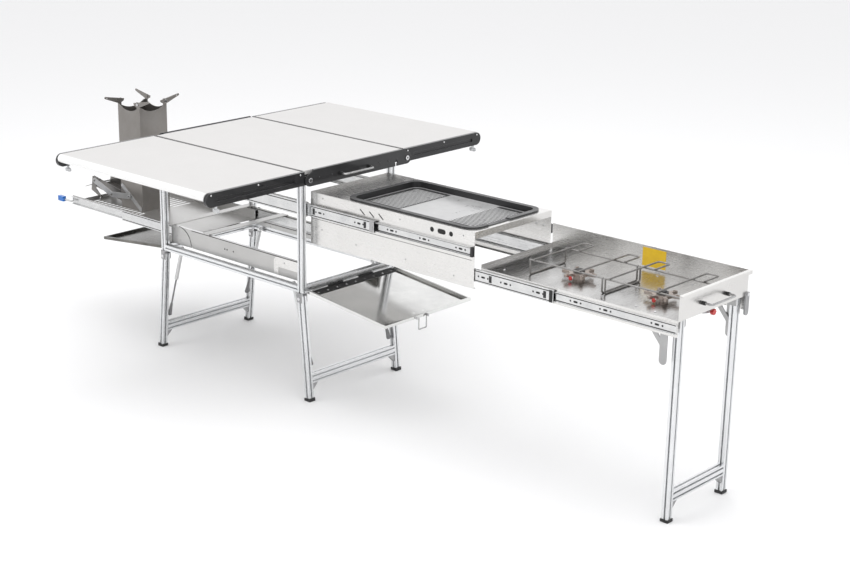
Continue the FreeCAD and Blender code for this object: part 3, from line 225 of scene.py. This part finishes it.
cast_iron = finish("cast_iron", (0.045, 0.044, 0.045), (0.09, 0.085, 0.08), metallic=0.6, rough=0.50,
                   grain=700, bump=0.30, edge_wear_and_highlight=(0.25, 0.24, 0.23), spread=0.12, blotch=45.0)
rubber = finish("rubber", (0.012, 0.012, 0.012), (0.026, 0.026, 0.027), metallic=0.0, rough=0.60, grain=800,
                bump=0.15, edge_wear_and_highlight=(0.06, 0.06, 0.06), blotch=40.0)
boot_grey = finish("boot_grey", (0.22, 0.22, 0.225), (0.16, 0.16, 0.165), metallic=0.0, rough=0.50,
                   grain=700, bump=0.12, edge_wear_and_highlight=(0.32, 0.32, 0.33), spread=0.08, blotch=40.0)
clear_grey = finish("clear_grey", (0.62, 0.63, 0.64), (0.48, 0.49, 0.50), metallic=0.0, rough=0.22,
                    grain=300, bump=0.04, edge_wear_and_highlight=(0.80, 0.80, 0.81), spread=0.05, blotch=60.0, coat=0.4)
red_plastic = finish("red_plastic", (0.55, 0.018, 0.014), (0.42, 0.012, 0.010), metallic=0.0, rough=0.30,
                     grain=500, edge_wear_and_highlight=(0.75, 0.10, 0.08), spread=0.06, blotch=60.0, coat=0.3)
blue_plastic = finish("blue_plastic", (0.008, 0.16, 0.56), (0.006, 0.11, 0.42), metallic=0.0, rough=0.30,
                      grain=500, edge_wear_and_highlight=(0.08, 0.33, 0.78), spread=0.06, blotch=60.0, coat=0.3)
yellow_plate = finish("yellow_plate", (0.80, 0.52, 0.02), (0.74, 0.47, 0.02), metallic=0.0, rough=0.40,
                      grain=400, bump=0.03, edge_wear_and_highlight=(0.86, 0.62, 0.10), spread=0.06, blotch=60.0)
# flat black: painted shade in holes, grooves, recesses and openings, and the colour of dark seams
painted_shade_and_seams = finish("painted_shade_and_seams", (0.010, 0.010, 0.010), (0.020, 0.020, 0.020), metallic=0.0, rough=0.70,
                 grain=500, edge_wear_and_highlight=(0.03, 0.03, 0.03), spread=0.05, blotch=60.0)


# the griddle pan: heights in m between which its looks fade, and the flat zone's ends in mm
RIB_TOP_FROM, RIB_TOP_TO = (0.8088, 0.8096), (0.8112, 0.8120)
FLAT_X0, FLAT_X1, FLAT_FADE = 1200, 1432, 0.006
FLAT_Z_HIGH, FLAT_Z_LOW = 0.8105, 0.8085


def pan_material():
    """Dark non-stick casting: fine speckle, lighter rib tops, a painted highlight on its edges, and a painted
    reflection on the smooth middle zone.
    """
    mat, nodes, links, shader = new_material("pan_coating")
    coord = nodes.new("ShaderNodeTexCoord").outputs["Object"]
    speckle = mapped_noise(nodes, links, coord, (1, 1, 1), 1300.0, 2.0)
    smudge_and_sheen = mapped_noise(nodes, links, coord, (1, 1, 1), 14.0, 5.0, 0.6)
    colour = mixed(nodes, links, remap(nodes, links, speckle, 0.45, 0.70, 0.0, 1.0),
                   (0.020, 0.020, 0.021), (0.055, 0.055, 0.057))
    mask, rounded = edge_mask(nodes, links, PAN_HIGHLIGHT_WIDTH)
    # the pan's edges and rims get a painted highlight
    colour = mixed(nodes, links, remap(nodes, links, mask, 0.0, 1.0, 0.0, 0.8), colour, (0.42, 0.42, 0.425))
    split = nodes.new("ShaderNodeSeparateXYZ")
    links.new(coord, split.inputs["Vector"])
    # rib tops are painted lighter
    above = remap(nodes, links, split.outputs["Z"], *RIB_TOP_FROM, 0.0, 1.0)
    below = remap(nodes, links, split.outputs["Z"], *RIB_TOP_TO, 1.0, 0.0)
    colour = mixed(nodes, links, product(nodes, links, above, below), colour, (0.62, 0.62, 0.62))
    # the flat middle zone, between the two ribbed ones, gets a painted reflection: a lighter colour
    left, right = at(FLAT_X0, 0, 0).x, at(FLAT_X1, 0, 0).x
    rise = remap(nodes, links, split.outputs["X"], left - FLAT_FADE, left, 0.0, 1.0)
    fall = remap(nodes, links, split.outputs["X"], right, right + FLAT_FADE, 1.0, 0.0)
    depth = remap(nodes, links, split.outputs["Z"], FLAT_Z_HIGH, FLAT_Z_LOW, 0.0, 1.0)
    flat = product(nodes, links, product(nodes, links, rise, fall), depth)
    # the painted reflection on the flat middle zone, patchy with the noise
    painted_reflection = mixed(nodes, links, remap(nodes, links, smudge_and_sheen, 0.3, 0.7, 0.0, 1.0),
                 (0.42, 0.42, 0.42), (0.55, 0.55, 0.55))
    colour = mixed(nodes, links, flat, colour, painted_reflection)
    links.new(colour, shader.inputs["Base Color"])
    links.new(remap(nodes, links, smudge_and_sheen, 0.3, 0.7, 0.26, 0.42), shader.inputs["Roughness"])
    bumps = nodes.new("ShaderNodeBump")
    bumps.inputs["Strength"].default_value = 0.08
    bumps.inputs["Distance"].default_value = 0.0003
    links.new(speckle, bumps.inputs["Height"])
    links.new(rounded, bumps.inputs["Normal"])
    links.new(bumps.outputs["Normal"], shader.inputs["Normal"])
    shader.inputs["Metallic"].default_value = 0.25
    return mat


pan_coating = pan_material()


# ---------------------------------------------------------------- carried-over CAD nodes
BODY_OF = {node: body for body, group in frame["record"]["behaviour"]["bodies"].items() for node in group}


def coat_node(node, mat):
    """Give a CAD node's own object one material."""
    mesh = frame["nodes"][node].data
    mesh.materials.clear()
    mesh.materials.append(mat)


MERGE_GRID = 1e5                         # corners in the same hundredth of a millimetre are one corner


def islands(mesh):
    """Sets of polygon indices that share corners: one set per separate solid."""
    parent = list(range(len(mesh.polygons)))

    def root(i):
        while parent[i] != i:
            parent[i] = parent[parent[i]]
            i = parent[i]
        return i

    seen = {}
    for poly in mesh.polygons:
        for v in poly.vertices:
            key = tuple(round(c * MERGE_GRID) for c in mesh.vertices[v].co)
            first = seen.setdefault(key, poly.index)
            parent[root(poly.index)] = root(first)
    groups = {}
    for poly in mesh.polygons:
        groups.setdefault(root(poly.index), []).append(poly.index)
    return list(groups.values())


def repaint(node, mats, rule):
    """Replace a CAD node by a copy of its mesh, each solid painted as rule(low, high) says.

    low and high are the solid's corners in mm from the near left post's axis."""
    source = frame["nodes"][node]
    mesh = source.data.copy()
    mesh.materials.clear()
    for mat in mats:
        mesh.materials.append(mat)
    for group in islands(mesh):
        points = [(mesh.vertices[v].co - ORIGIN) / MM for i in group for v in mesh.polygons[i].vertices]
        low = Vector([min(p[k] for p in points) for k in range(3)])
        high = Vector([max(p[k] for p in points) for k in range(3)])
        index = rule(low, high)
        for i in group:
            mesh.polygons[i].material_index = index
    piece = bpy.data.objects.new(node + "_finished", mesh)
    bpy.context.scene.collection.objects.link(piece)
    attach(piece, BODY_OF[node])
    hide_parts(node)
    return piece


PLAIN = {
    "corner_posts": profile_z, "frame_rails": profile_x, "leg_brackets": grey_metal,
    "frame_pins": chrome, "rack_guides": panel_steel,
    "centre_board": laminate, "link_plates": black_plate, "top_beams": black_rail,
    "tray_hinge_leaves": plated, "near_leaf_board": laminate, "far_leaf_board": laminate,
    "thumb_knob_near_left": clear_grey, "thumb_knob_near_right": clear_grey,
    "thumb_knob_far_left": clear_grey, "thumb_knob_far_right": clear_grey,
    "strut_bodies_left": plated, "strut_bodies_right": plated,
    "tray_bail_left": wire_bar, "tray_bail_right": wire_bar,
    "griddle_sides": brushed_x, "griddle_top": brushed_x, "griddle_pan": pan_coating,
    "stove_slide_outers": plated, "griddle_slide_middles": plated,
    "stove_floor": floor_steel, "stove_walls": brushed_x, "pot_grates": wire_dark,
    "gas_regulator": grey_metal, "stove_slide_inners": plated, "stove_slide_middles": plated,
    "gas_valve_knob": red_plastic, "leg_braces": leg_plate, "end_latch": grey_metal,
    "rack_plate": panel_steel, "rack_slide_inners": plated, "stove_column": stove_steel,
    "rack_slide_middles": plated, "chute_flap": chute_steel, "arm_pins": chrome,
    "pot_arm_right_back": stove_steel, "pot_arm_left_back": stove_steel,
    "pot_arm_left_front": stove_steel, "pot_arm_right_front": stove_steel,
}
for node, mat in PLAIN.items():
    coat_node(node, mat)


# Rules for repaint: each tells a node's solids apart by their size or place in mm, and returns
# the index of the material in the list beside it.
FOOT_CAP_TOP = 25                        # a leg's cap ends below this height
BOOT_FOOT = 160                          # a strut's boot starts below this height, and its rod above
RACK_SLIDE_TOP = 600                     # the rack's outer slide members are below this height; those on the far side get painted shade
CHUTE_NEAR_SIDE = 172                    # the chute's near links end before this y
POST_LENGTH, TRAY_SPAN, CHUTE_BOLT = 200, 300, 30       # posts and tray sheets are longer, bolts smaller
POST, FOOT, BRACKET, CROSSBAR = range(4)


def longer(axis, limit, yes, no):
    """yes for solids that are longer than limit along axis "x", "y" or "z", no for the others."""
    return lambda low, high: yes if getattr(high - low, axis) > limit else no


def smaller(limit, yes, no):
    """yes for solids that are smaller than limit every way, no for the others."""
    return lambda low, high: yes if max(high - low) < limit else no


def leg_rule(crossbar):
    """The parts of a folding leg pair. The crossbar is what is wider than crossbar mm."""
    def rule(low, high):
        if (high - low).y > crossbar:
            return CROSSBAR
        if high.z < FOOT_CAP_TOP:
            return FOOT
        return POST if (high - low).z > POST_LENGTH else BRACKET
    return rule


def tray_rule(low, high):
    """The tray's sheet, then what runs across it, then its small fixings."""
    if (high - low).x > TRAY_SPAN:
        return 0
    return 1 if (high - low).y > TRAY_SPAN else 2


def chute_rule(low, high):
    """The chute's sheets, its bolts, and the links on its near side."""
    if max(high - low) < CHUTE_BOLT:
        return 1
    return 2 if high.y < CHUTE_NEAR_SIDE else 0


LEG_MATERIALS = [profile_z, rubber, grey_metal, profile_x]
for leaf in ("near_leaf_edges", "far_leaf_edges"):
    repaint(leaf, [nosing, black_rail], longer("x", 400, 0, 1))
# the left tray's floor gets painted shade
for side, tray_floor in (("left", painted_shade_steel), ("right", mirror_steel)):
    repaint("legs_" + side, LEG_MATERIALS, leg_rule(300))
    repaint("strut_rods_" + side, [chrome, boot_grey], lambda low, high: 1 if low.z < BOOT_FOOT else 0)
    repaint("tray_" + side, [tray_floor, rubber, chrome], tray_rule)
# the rack's outer slide members on the far side get painted shade
repaint("slide_outers", [plated, painted_shade_steel],
        lambda low, high: 1 if low.y > MID_Y and high.z < RACK_SLIDE_TOP else 0)
repaint("stove_legs", LEG_MATERIALS, leg_rule(200))
repaint("griddle_slide_inners", [plated, rubber], smaller(60, 1, 0))
for grip in ("side_handle", "stove_handle"):
    repaint(grip, [rubber, wire_bar], longer("y", 60, 1, 0))
repaint("stove_fittings", [leg_plate, chrome], smaller(20, 1, 0))
repaint("burners", [burner_plated, cast_iron], longer("z", 15, 0, 1))
repaint("fuel_chute", [chute_steel, chrome, leg_plate], chute_rule)
LEVER_GRIP = 38.5                        # length of the release lever's blue grip, mm


def repaint_lever():
    """The release lever: a steel arm with a blue grip at its free end."""
    piece = repaint("rack_release_lever", [plated, blue_plastic], lambda low, high: 0)
    mesh = piece.data
    grip_end = min(v.co.x for v in mesh.vertices) + LEVER_GRIP * MM
    for poly in mesh.polygons:
        if poly.center.x < grip_end:
            poly.material_index = 1


repaint_lever()


# ---------------------------------------------------------------- added pieces
def add_piece(name, mesh, mats, body):
    for mat in mats:
        mesh.materials.append(mat)
    piece = bpy.data.objects.new(name, mesh)
    bpy.context.scene.collection.objects.link(piece)
    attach(piece, body)
    return piece


# turns that point a piece's own +Z along each direction
AXES = {"x": Matrix.Rotation(math.radians(90), 4, "Y"), "-x": Matrix.Rotation(math.radians(-90), 4, "Y"),
        "y": Matrix.Rotation(math.radians(-90), 4, "X"), "-y": Matrix.Rotation(math.radians(90), 4, "X"),
        "z": Matrix.Identity(4)}
SIDES = 20                               # facets round every turned piece


def lathed(name, outline, places, facing, mat, body):
    """Turned pieces such as screw heads: outline is (radius, height) pairs in mm, from the foot up.

    Each place is a point in mm; facing is the direction the head points."""
    mesh = bpy.data.meshes.new(name)
    bm = bmesh.new()
    for place in places:
        turn = Matrix.Translation(at(*place)) @ AXES[facing]
        rings = []
        for radius, height in outline:
            ring = []
            for i in range(SIDES):
                angle = 2 * math.pi * i / SIDES
                point = Vector((radius * math.cos(angle), radius * math.sin(angle), height)) * MM
                ring.append(bm.verts.new(turn @ point))
            rings.append(ring)
        for low, high in zip(rings, rings[1:]):
            for i in range(SIDES):
                j = (i + 1) % SIDES
                bm.faces.new((low[i], low[j], high[j], high[i]))
        bm.faces.new(list(reversed(rings[0])))
        bm.faces.new(rings[-1])
    bm.to_mesh(mesh)
    bm.free()
    return add_piece(name, mesh, [mat], body)


def plates(name, outline, thick, places, facing, mat, body):
    """Flat pieces of one outline, in mm, each standing thick proud of its place."""
    mesh = bpy.data.meshes.new(name)
    bm = bmesh.new()
    for place in places:
        turn = Matrix.Translation(at(*place)) @ AXES[facing]
        foot = [bm.verts.new(turn @ (Vector((x, y, 0)) * MM)) for x, y in outline]
        head = [bm.verts.new(turn @ (Vector((x, y, thick)) * MM)) for x, y in outline]
        bm.faces.new(list(reversed(foot)))
        bm.faces.new(head)
        for i in range(len(foot)):
            j = (i + 1) % len(foot)
            bm.faces.new((foot[i], foot[j], head[j], head[i]))
    bm.to_mesh(mesh)
    bm.free()
    return add_piece(name, mesh, [mat], body)


def oval(length, width, steps=8):
    """A slot outline with half-round ends, its length along the first axis."""
    reach, r = (length - width) / 2, width / 2
    points = []
    for centre, start in ((reach, -90), (-reach, 90)):
        for i in range(steps + 1):
            angle = math.radians(start + 180 * i / steps)
            points.append((centre + r * math.cos(angle), r * math.sin(angle)))
    return points


def rectangle(wide, high):
    return [(-wide / 2, -high / 2), (wide / 2, -high / 2), (wide / 2, high / 2), (-wide / 2, high / 2)]


# profiles of turned pieces: radius and height in mm, from the foot up
SCREW = [(3.6, 0), (3.6, 0.6), (2.9, 1.4), (1.7, 1.8), (1.5, 0.9)]
DOME = [(3.2, 0), (3.0, 0.5), (2.2, 1.0), (0.8, 1.3)]
SOCKET = [(3.4, 0), (3.4, 0.3)]
WASHER = [(9.5, 0), (9.5, 0.5), (8.6, 0.9), (4.2, 0.9)]
BUTTON = [(7, 0), (7, 3), (5, 4.5)]
MARK = 0.25                              # how far flat marks stand proud of their face, mm
NEAR_FACE, FAR_FACE = "-y", "y"
PUNCHED_SLOT, PUNCHED_HOLE, PUNCHED_STEP = (17, 7), 3.4, 21   # slot, hole radius, and the step between them
CATCH, CATCH_THICK = (11, 24), 0.9       # the dark catches at the slides' ends
RACEWAY = 3.2                            # width of a ball track


def mirrored(places):
    """The same places on the far side of the lengthwise middle plane."""
    return [(x, 2 * MID_Y - y, z) for x, y, z in places]


def on_both_sides(name, build, places, body, slot, mat):
    for tag, facing, spots in (("near", NEAR_FACE, places), ("far", FAR_FACE, mirrored(places))):
        build(name + "_" + tag, spots, facing, mat, body, slot)


def turned_piece(outline):
    """A builder of turned pieces, for on_both_sides."""
    def build(name, places, facing, mat, body, slot):
        return lathed(name, outline, places, facing, mat, body)
    return build


def flat_piece(outline, thick):
    """A builder of flat pieces, for on_both_sides."""
    def build(name, places, facing, mat, body, slot):
        return plates(name, outline, thick, places, facing, mat, body)
    return build


domes = turned_piece(DOME)
# holes and slots are flat dark marks: painted shade seen through them
round_holes = turned_piece([(PUNCHED_HOLE, 0), (PUNCHED_HOLE, MARK)])
long_holes = flat_piece(oval(*PUNCHED_SLOT), MARK)
catches = flat_piece(rectangle(*CATCH), CATCH_THICK)


def slide_punching(name, spots, y_face, z, body):
    """The repeated hole, slot, hole punched through a drawer slide member."""
    slots = [(x, y_face, z) for x in spots]
    holes = [(x + dx, y_face, z) for x in spots for dx in (-PUNCHED_STEP, PUNCHED_STEP)]
    # the holes and slots are painted shade seen through them
    on_both_sides(name + "_slots", long_holes, slots, body, "plated_steel", painted_shade_and_seams)
    on_both_sides(name + "_holes", round_holes, holes, body, "plated_steel", painted_shade_and_seams)


def raceway_shade_lines(name, x0, x1, y_face, z, gap, body):
    """Painted shade in the ball tracks, seen as two dark lines along a slide member."""
    places = [((x0 + x1) / 2, y_face, z - gap), ((x0 + x1) / 2, y_face, z + gap)]
    on_both_sides(name, flat_piece(rectangle(x1 - x0, RACEWAY), MARK), places, body, "plated_steel", painted_shade_and_seams)


# ---- worktop: rail screws, link plate fixings, seams
RAIL_RIGHT, RAIL_LEFT = 861, -38         # outer faces of the leaves' side rails
RAIL_SCREW_Z = 906.5
for leaf, spots in (("near_leaf", (-475, -250, -40)), ("far_leaf", (545, 760, 962))):
    lathed(leaf + "_rail_screws_right", SCREW, [(RAIL_RIGHT, y, RAIL_SCREW_Z) for y in spots], "x", chrome,
           leaf)
    lathed(leaf + "_rail_screws_left", SCREW, [(RAIL_LEFT, y, RAIL_SCREW_Z) for y in spots], "-x", chrome,
           leaf)
LINK_RIGHT, LINK_LEFT = 865.3, -42.3     # outer faces of the link plates
BOLT_HEAD, WASHER_TOP = 3.5, 4.4         # how far the bolt and its washer stand out
LINK_BOLT_Y, LINK_BOLT_Z = (6, 536), 880
LINK_SCREW_Y, LINK_SCREW_Z = (52, 120, 380, 430), 884
for y in LINK_BOLT_Y:
    for tag, face, sign, facing in (("right", LINK_RIGHT, 1, "x"), ("left", LINK_LEFT, -1, "-x")):
        lathed("link_washer_%s_%d" % (tag, y), WASHER, [(face + sign * BOLT_HEAD, y, LINK_BOLT_Z)], facing,
               chrome, "frame")
        # a dark disc in each bolt head: painted shade in its socket
        lathed("link_bolt_socket_%s_%d" % (tag, y), SOCKET, [(face + sign * WASHER_TOP, y, LINK_BOLT_Z)],
               facing, painted_shade_and_seams, "frame")
for tag, face, facing in (("right", LINK_RIGHT, "x"), ("left", LINK_LEFT, "-x")):
    lathed("link_plate_screws_" + tag, SCREW, [(face, y, LINK_SCREW_Z) for y in LINK_SCREW_Y], facing,
           black_plate, "frame")
TOP_MIDDLE, TOP_LENGTH, TOP_Z = 411.5, 871, 915
GASKET, GASKET_DEEP, GASKET_SUNK = 2.4, 12, 1
EDGING, EDGING_THICK = 5.0, 0.3
for name, y in (("near", -16.5), ("far", 525.5)):
    plates(name + "_seam_gasket", rectangle(TOP_LENGTH, GASKET), GASKET_DEEP,
           [(TOP_MIDDLE, y, TOP_Z - GASKET_SUNK - GASKET_DEEP)], "z", rubber, "frame")
for name, y, body in (("near_leaf", -21, "near_leaf"), ("near_centre", -12, "frame"),
                      ("far_centre", 521, "frame"), ("far_leaf", 530, "far_leaf")):
    plates("seam_edging_" + name, rectangle(TOP_LENGTH, EDGING), EDGING_THICK, [(TOP_MIDDLE, y, TOP_Z)],
           "z", rubber, body)

# ---- griddle drawer: slides, spot welds, painted shade inside behind its windows and louvres
DRAWER_SLIDE_Z, DRAWER_OUTER_Y, DRAWER_MIDDLE_Y, DRAWER_INNER_Y = 759, 12.9, 17.0, 31.1
DRAWER_FACE, DRAWER_INSIDE = 33, 35.4
SHADE_SHEET_HIGH, SHADE_SHEET_THICK = 24, 0.3    # painted shade: dark sheets behind the drawer's openings
FOLD_MIDDLE, FOLD_LENGTH, FOLD_Z, FOLD_WIDE = 1243, 792, 727, 1.6
slide_punching("griddle_inner_punching", (1262, 1420, 1590), DRAWER_INNER_Y, DRAWER_SLIDE_Z, "griddle_drawer")
slide_punching("griddle_middle_punching", (520, 700, 905, 1110), DRAWER_MIDDLE_Y, DRAWER_SLIDE_Z,
               "griddle_slide_middles")
raceway_shade_lines("griddle_outer_raceways", -6, 829, DRAWER_OUTER_Y, DRAWER_SLIDE_Z, 20, "frame")
raceway_shade_lines("griddle_middle_raceways", 860, 1180, DRAWER_MIDDLE_Y, DRAWER_SLIDE_Z, 17, "griddle_slide_middles")
raceway_shade_lines("griddle_inner_raceways", 1190, 1636, DRAWER_INNER_Y, DRAWER_SLIDE_Z, 12, "griddle_drawer")
on_both_sides("griddle_slide_catches", catches,
              [(x, DRAWER_MIDDLE_Y, DRAWER_SLIDE_Z) for x in (872, 1140)],
              "griddle_slide_middles", "plated_steel", rubber)
on_both_sides("griddle_slide_end_stop", flat_piece(rectangle(16, 42), 1.6),
              [(1172, DRAWER_MIDDLE_Y, DRAWER_SLIDE_Z)], "griddle_slide_middles", "plated_steel", leg_plate)
WELDS = ((900, 690), (1080, 668), (1330, 665), (1560, 655), (905, 812), (1300, 808), (1600, 808))
on_both_sides("griddle_spot_welds", domes, [(x, DRAWER_FACE, z) for x, z in WELDS],
              "griddle_drawer", "stainless", leg_plate)
# painted shade: dark sheets where the drawer's inside shows through its window and louvres
for name, wide, x, z in (("window_backing", 124, 1499, 802), ("louvre_backing", 140, 1160, 799)):
    plates(name, rectangle(wide, SHADE_SHEET_HIGH), SHADE_SHEET_THICK, [(x, DRAWER_INSIDE, z)], NEAR_FACE, painted_shade_and_seams,
           "griddle_drawer")
# painted shade: a dark line along the side's fold
plates("side_fold_shade_line", rectangle(FOLD_LENGTH, FOLD_WIDE), MARK, [(FOLD_MIDDLE, DRAWER_FACE, FOLD_Z)],
       NEAR_FACE, painted_shade_and_seams, "griddle_drawer")

# ---- stove tray: slides, burner buttons, and a blank plate where the photograph has a label
STOVE_SLIDE_Z, STOVE_MIDDLE_Y, STOVE_INNER_Y = 675, 37.2, 45.6       # height and outer faces
slide_punching("stove_middle_punching", (1690, 1790, 1930), STOVE_MIDDLE_Y, STOVE_SLIDE_Z,
               "stove_slide_middles")
slide_punching("stove_inner_punching", (2080, 2200, 2400), STOVE_INNER_Y, STOVE_SLIDE_Z, "stove_tray")
raceway_shade_lines("stove_middle_raceways", 1650, 1990, STOVE_MIDDLE_Y, STOVE_SLIDE_Z, 17, "stove_slide_middles")
raceway_shade_lines("stove_inner_raceways", 2000, 2470, STOVE_INNER_Y, STOVE_SLIDE_Z, 12, "stove_tray")
on_both_sides("stove_slide_catches", catches, [(x, STOVE_MIDDLE_Y, STOVE_SLIDE_Z) for x in (1722, 1958)],
              "stove_slide_middles", "plated_steel", rubber)
on_both_sides("stove_slide_end_stop", flat_piece(rectangle(14, 42), 0.9),
              [(1984, STOVE_MIDDLE_Y, STOVE_SLIDE_Z)], "stove_slide_middles", "plated_steel", rubber)
BUTTON_X, BUTTON_Y, BUTTON_Z = (1985, 2320), 140, 715
for x in BUTTON_X:
    lathed("burner_button_%d" % x, BUTTON, [(x, BUTTON_Y, BUTTON_Z)], NEAR_FACE, red_plastic, "stove_tray")
BLANK_PLATE, BLANK_THICK, BLANK_PLACE = (96, 66), 0.5, (2110, 440.5, 748)
plates("blank_plate", rectangle(*BLANK_PLATE), BLANK_THICK, [BLANK_PLACE], NEAR_FACE, yellow_plate,
       "stove_tray")

# ---- rack: slides, and the plates and marks on its guide panels
RACK_SLIDE_Z, RACK_MIDDLE_Y = 512, 29.8
raceway_shade_lines("rack_middle_raceways", -326, 15, RACK_MIDDLE_Y, RACK_SLIDE_Z, 17, "rack_slide_middles")
GUIDE_FACE = 24.2
ROUND_FOOT, ROUND_X, ROUND_R = 463.5, 62.0, 75.5
END_PLATE_X, END_SEAM = 14, 2.5          # the plate's straight edge, and the seam's width round its arc
TAB_X, TAB_END, TAB_TOP, TAB_FOOT, TAB_WEB, TAB_R = 640.0, 806.0, 536.0, 466.0, 26.0, 22.0
TAB_STEP = 496                           # the underside of the tab's arm


def arc(centre, radius, start, end, steps=12):
    """Points from one angle to the other, in degrees, measured from the first axis."""
    angles = [math.radians(start + (end - start) * i / steps) for i in range(steps + 1)]
    return [(centre[0] + radius * math.cos(a), centre[1] + radius * math.sin(a)) for a in angles]


def flat_on_guide(outline, thick):
    """A builder of a flat piece whose outline is in x and z, on the guide panels' outer faces."""
    def build(name, places, facing, mat, body, slot):
        sign = 1 if facing == NEAR_FACE else -1
        return plates(name, [(x, sign * z) for x, z in outline], thick, places, facing, mat, body)
    return build


def quarter(radius):
    return arc((ROUND_X, ROUND_FOOT), radius, 90, 0)


on_guide = [(0, GUIDE_FACE, 0)]
end_plate = [(END_PLATE_X, ROUND_FOOT), (END_PLATE_X, ROUND_FOOT + ROUND_R)] + quarter(ROUND_R)
end_seam = quarter(ROUND_R + END_SEAM) + quarter(ROUND_R)[::-1]
hooked_tab = [(TAB_X, TAB_FOOT)] + arc((TAB_X + TAB_R, TAB_TOP - TAB_R), TAB_R, 180, 90, 8)
hooked_tab += [(TAB_END, TAB_TOP), (TAB_END, TAB_STEP), (TAB_X + TAB_WEB, TAB_STEP),
               (TAB_X + TAB_WEB, TAB_FOOT)]
for name, build, places, mat in (
        ("guide_end_plate", flat_on_guide(end_plate, 1.0), on_guide, panel_steel),
        ("guide_end_seam", flat_on_guide(end_seam, 0.6), on_guide, painted_shade_and_seams),
        ("guide_plate_screws", domes, [(34, 23.2, 524), (52, 23.2, 500), (72, 23.2, 484)], leg_plate),
        ("guide_hooked_tab", flat_on_guide(hooked_tab, 1.2), on_guide, brushed_x),
        ("guide_tab_screws", domes, [(700, 23.0, 518), (790, 23.0, 508)], leg_plate),
        # dark marks for the holes: painted shade seen through them
        ("guide_holes", round_holes, [(x, GUIDE_FACE, 502) for x in (348, 362, 400)], painted_shade_and_seams),
        ("guide_top_seam", flat_piece(rectangle(640, 2.6), 0.4), [(460, GUIDE_FACE, 537)], painted_shade_and_seams)):
    on_both_sides(name, build, places, "frame", "stainless", mat)


# ---------------------------------------------------------------- floor, light, camera
FLOOR_REACH, FLOOR_Z = 60.0, -0.0005     # half the floor's width, and its height just under the feet, m
HORIZON, ZENITH = (0.42, 0.42, 0.425, 1), (0.50, 0.50, 0.505, 1)
SKY_BANDS = ((0.12, 0.68), (0.30, 1.0), (0.50, 0.60))   # how far up, from 0 to 1, and how bright
SKY_STRENGTH = 1.5
# each light's place and the point it looks at in m, its disc's width in m, and its power in W
LIGHTS = {"key": ((-1.2, -3.4, 4.6), (0, 0, 0.6), 3.5, 50),
          "top": ((0.3, 0.6, 5.0), (0, 0, 0.5), 5.5, 95),
          "fill": ((5.0, -2.5, 3.4), (0.5, 0, 0.6), 4.0, 20)}
# the photograph's camera, found by fitting the frame's corners
LENS, SENSOR, LENS_SHIFT = 69.48, 36.0, (0.1009, 0.0082)
CAMERA_PLACE = (5164.75, -4115.09, 2351.86)
CAMERA_DOWN, CAMERA_LEFT = 17.725, 45.171               # degrees below level, and left of the +Y axis


def make_floor():
    mesh = bpy.data.meshes.new("studio_floor")
    corners = [(x * FLOOR_REACH, y * FLOOR_REACH, FLOOR_Z) for x, y in ((-1, -1), (1, -1), (1, 1), (-1, 1))]
    mesh.from_pydata(corners, [], [(0, 1, 2, 3)])
    mat, _, _, shader = new_material("studio_floor")
    shader.inputs["Base Color"].default_value = (0.95, 0.95, 0.95, 1)
    shader.inputs["Roughness"].default_value = 0.85
    mesh.materials.append(mat)
    floor = bpy.data.objects.new("studio_floor", mesh)
    bpy.context.scene.collection.objects.link(floor)


def make_world():
    """A studio sky with a bright band above the horizon, so that metal has something to reflect."""
    world = bpy.data.worlds.new("studio")
    world.use_nodes = True
    nodes, links = world.node_tree.nodes, world.node_tree.links
    coord = nodes.new("ShaderNodeTexCoord")
    split = nodes.new("ShaderNodeSeparateXYZ")
    links.new(coord.outputs["Generated"], split.inputs["Vector"])
    ramp = nodes.new("ShaderNodeValToRGB")
    links.new(split.outputs["Z"], ramp.inputs["Fac"])
    stops = ramp.color_ramp.elements
    stops[0].position, stops[0].color = 0.0, HORIZON
    stops[1].position, stops[1].color = 1.0, ZENITH
    for place, level in SKY_BANDS:
        stop = stops.new(place)
        stop.color = (level, level, level * 1.01, 1)
    background = nodes["Background"]
    links.new(ramp.outputs["Color"], background.inputs["Color"])
    background.inputs["Strength"].default_value = SKY_STRENGTH
    bpy.context.scene.world = world


def area_light(name, place, target, size, energy):
    light = bpy.data.lights.new(name, "AREA")
    light.shape = "DISK"
    light.size = size
    light.energy = energy
    lamp = bpy.data.objects.new(name, light)
    lamp.location = place
    lamp.rotation_euler = (Vector(target) - Vector(place)).to_track_quat("-Z", "Y").to_euler()
    bpy.context.scene.collection.objects.link(lamp)


def make_camera():
    camera = bpy.data.cameras.new("camera")
    camera.lens = LENS
    camera.sensor_width = SENSOR
    camera.shift_x, camera.shift_y = LENS_SHIFT
    holder = bpy.data.objects.new("camera", camera)
    holder.location = at(*CAMERA_PLACE)
    holder.rotation_euler = (math.radians(90 - CAMERA_DOWN), 0, math.radians(CAMERA_LEFT))
    bpy.context.scene.collection.objects.link(holder)
    bpy.context.scene.camera = holder


make_floor()
make_world()
for lamp_name, settings in LIGHTS.items():
    area_light(lamp_name, *settings)
make_camera()
bpy.context.scene.view_settings.view_transform = "Standard"
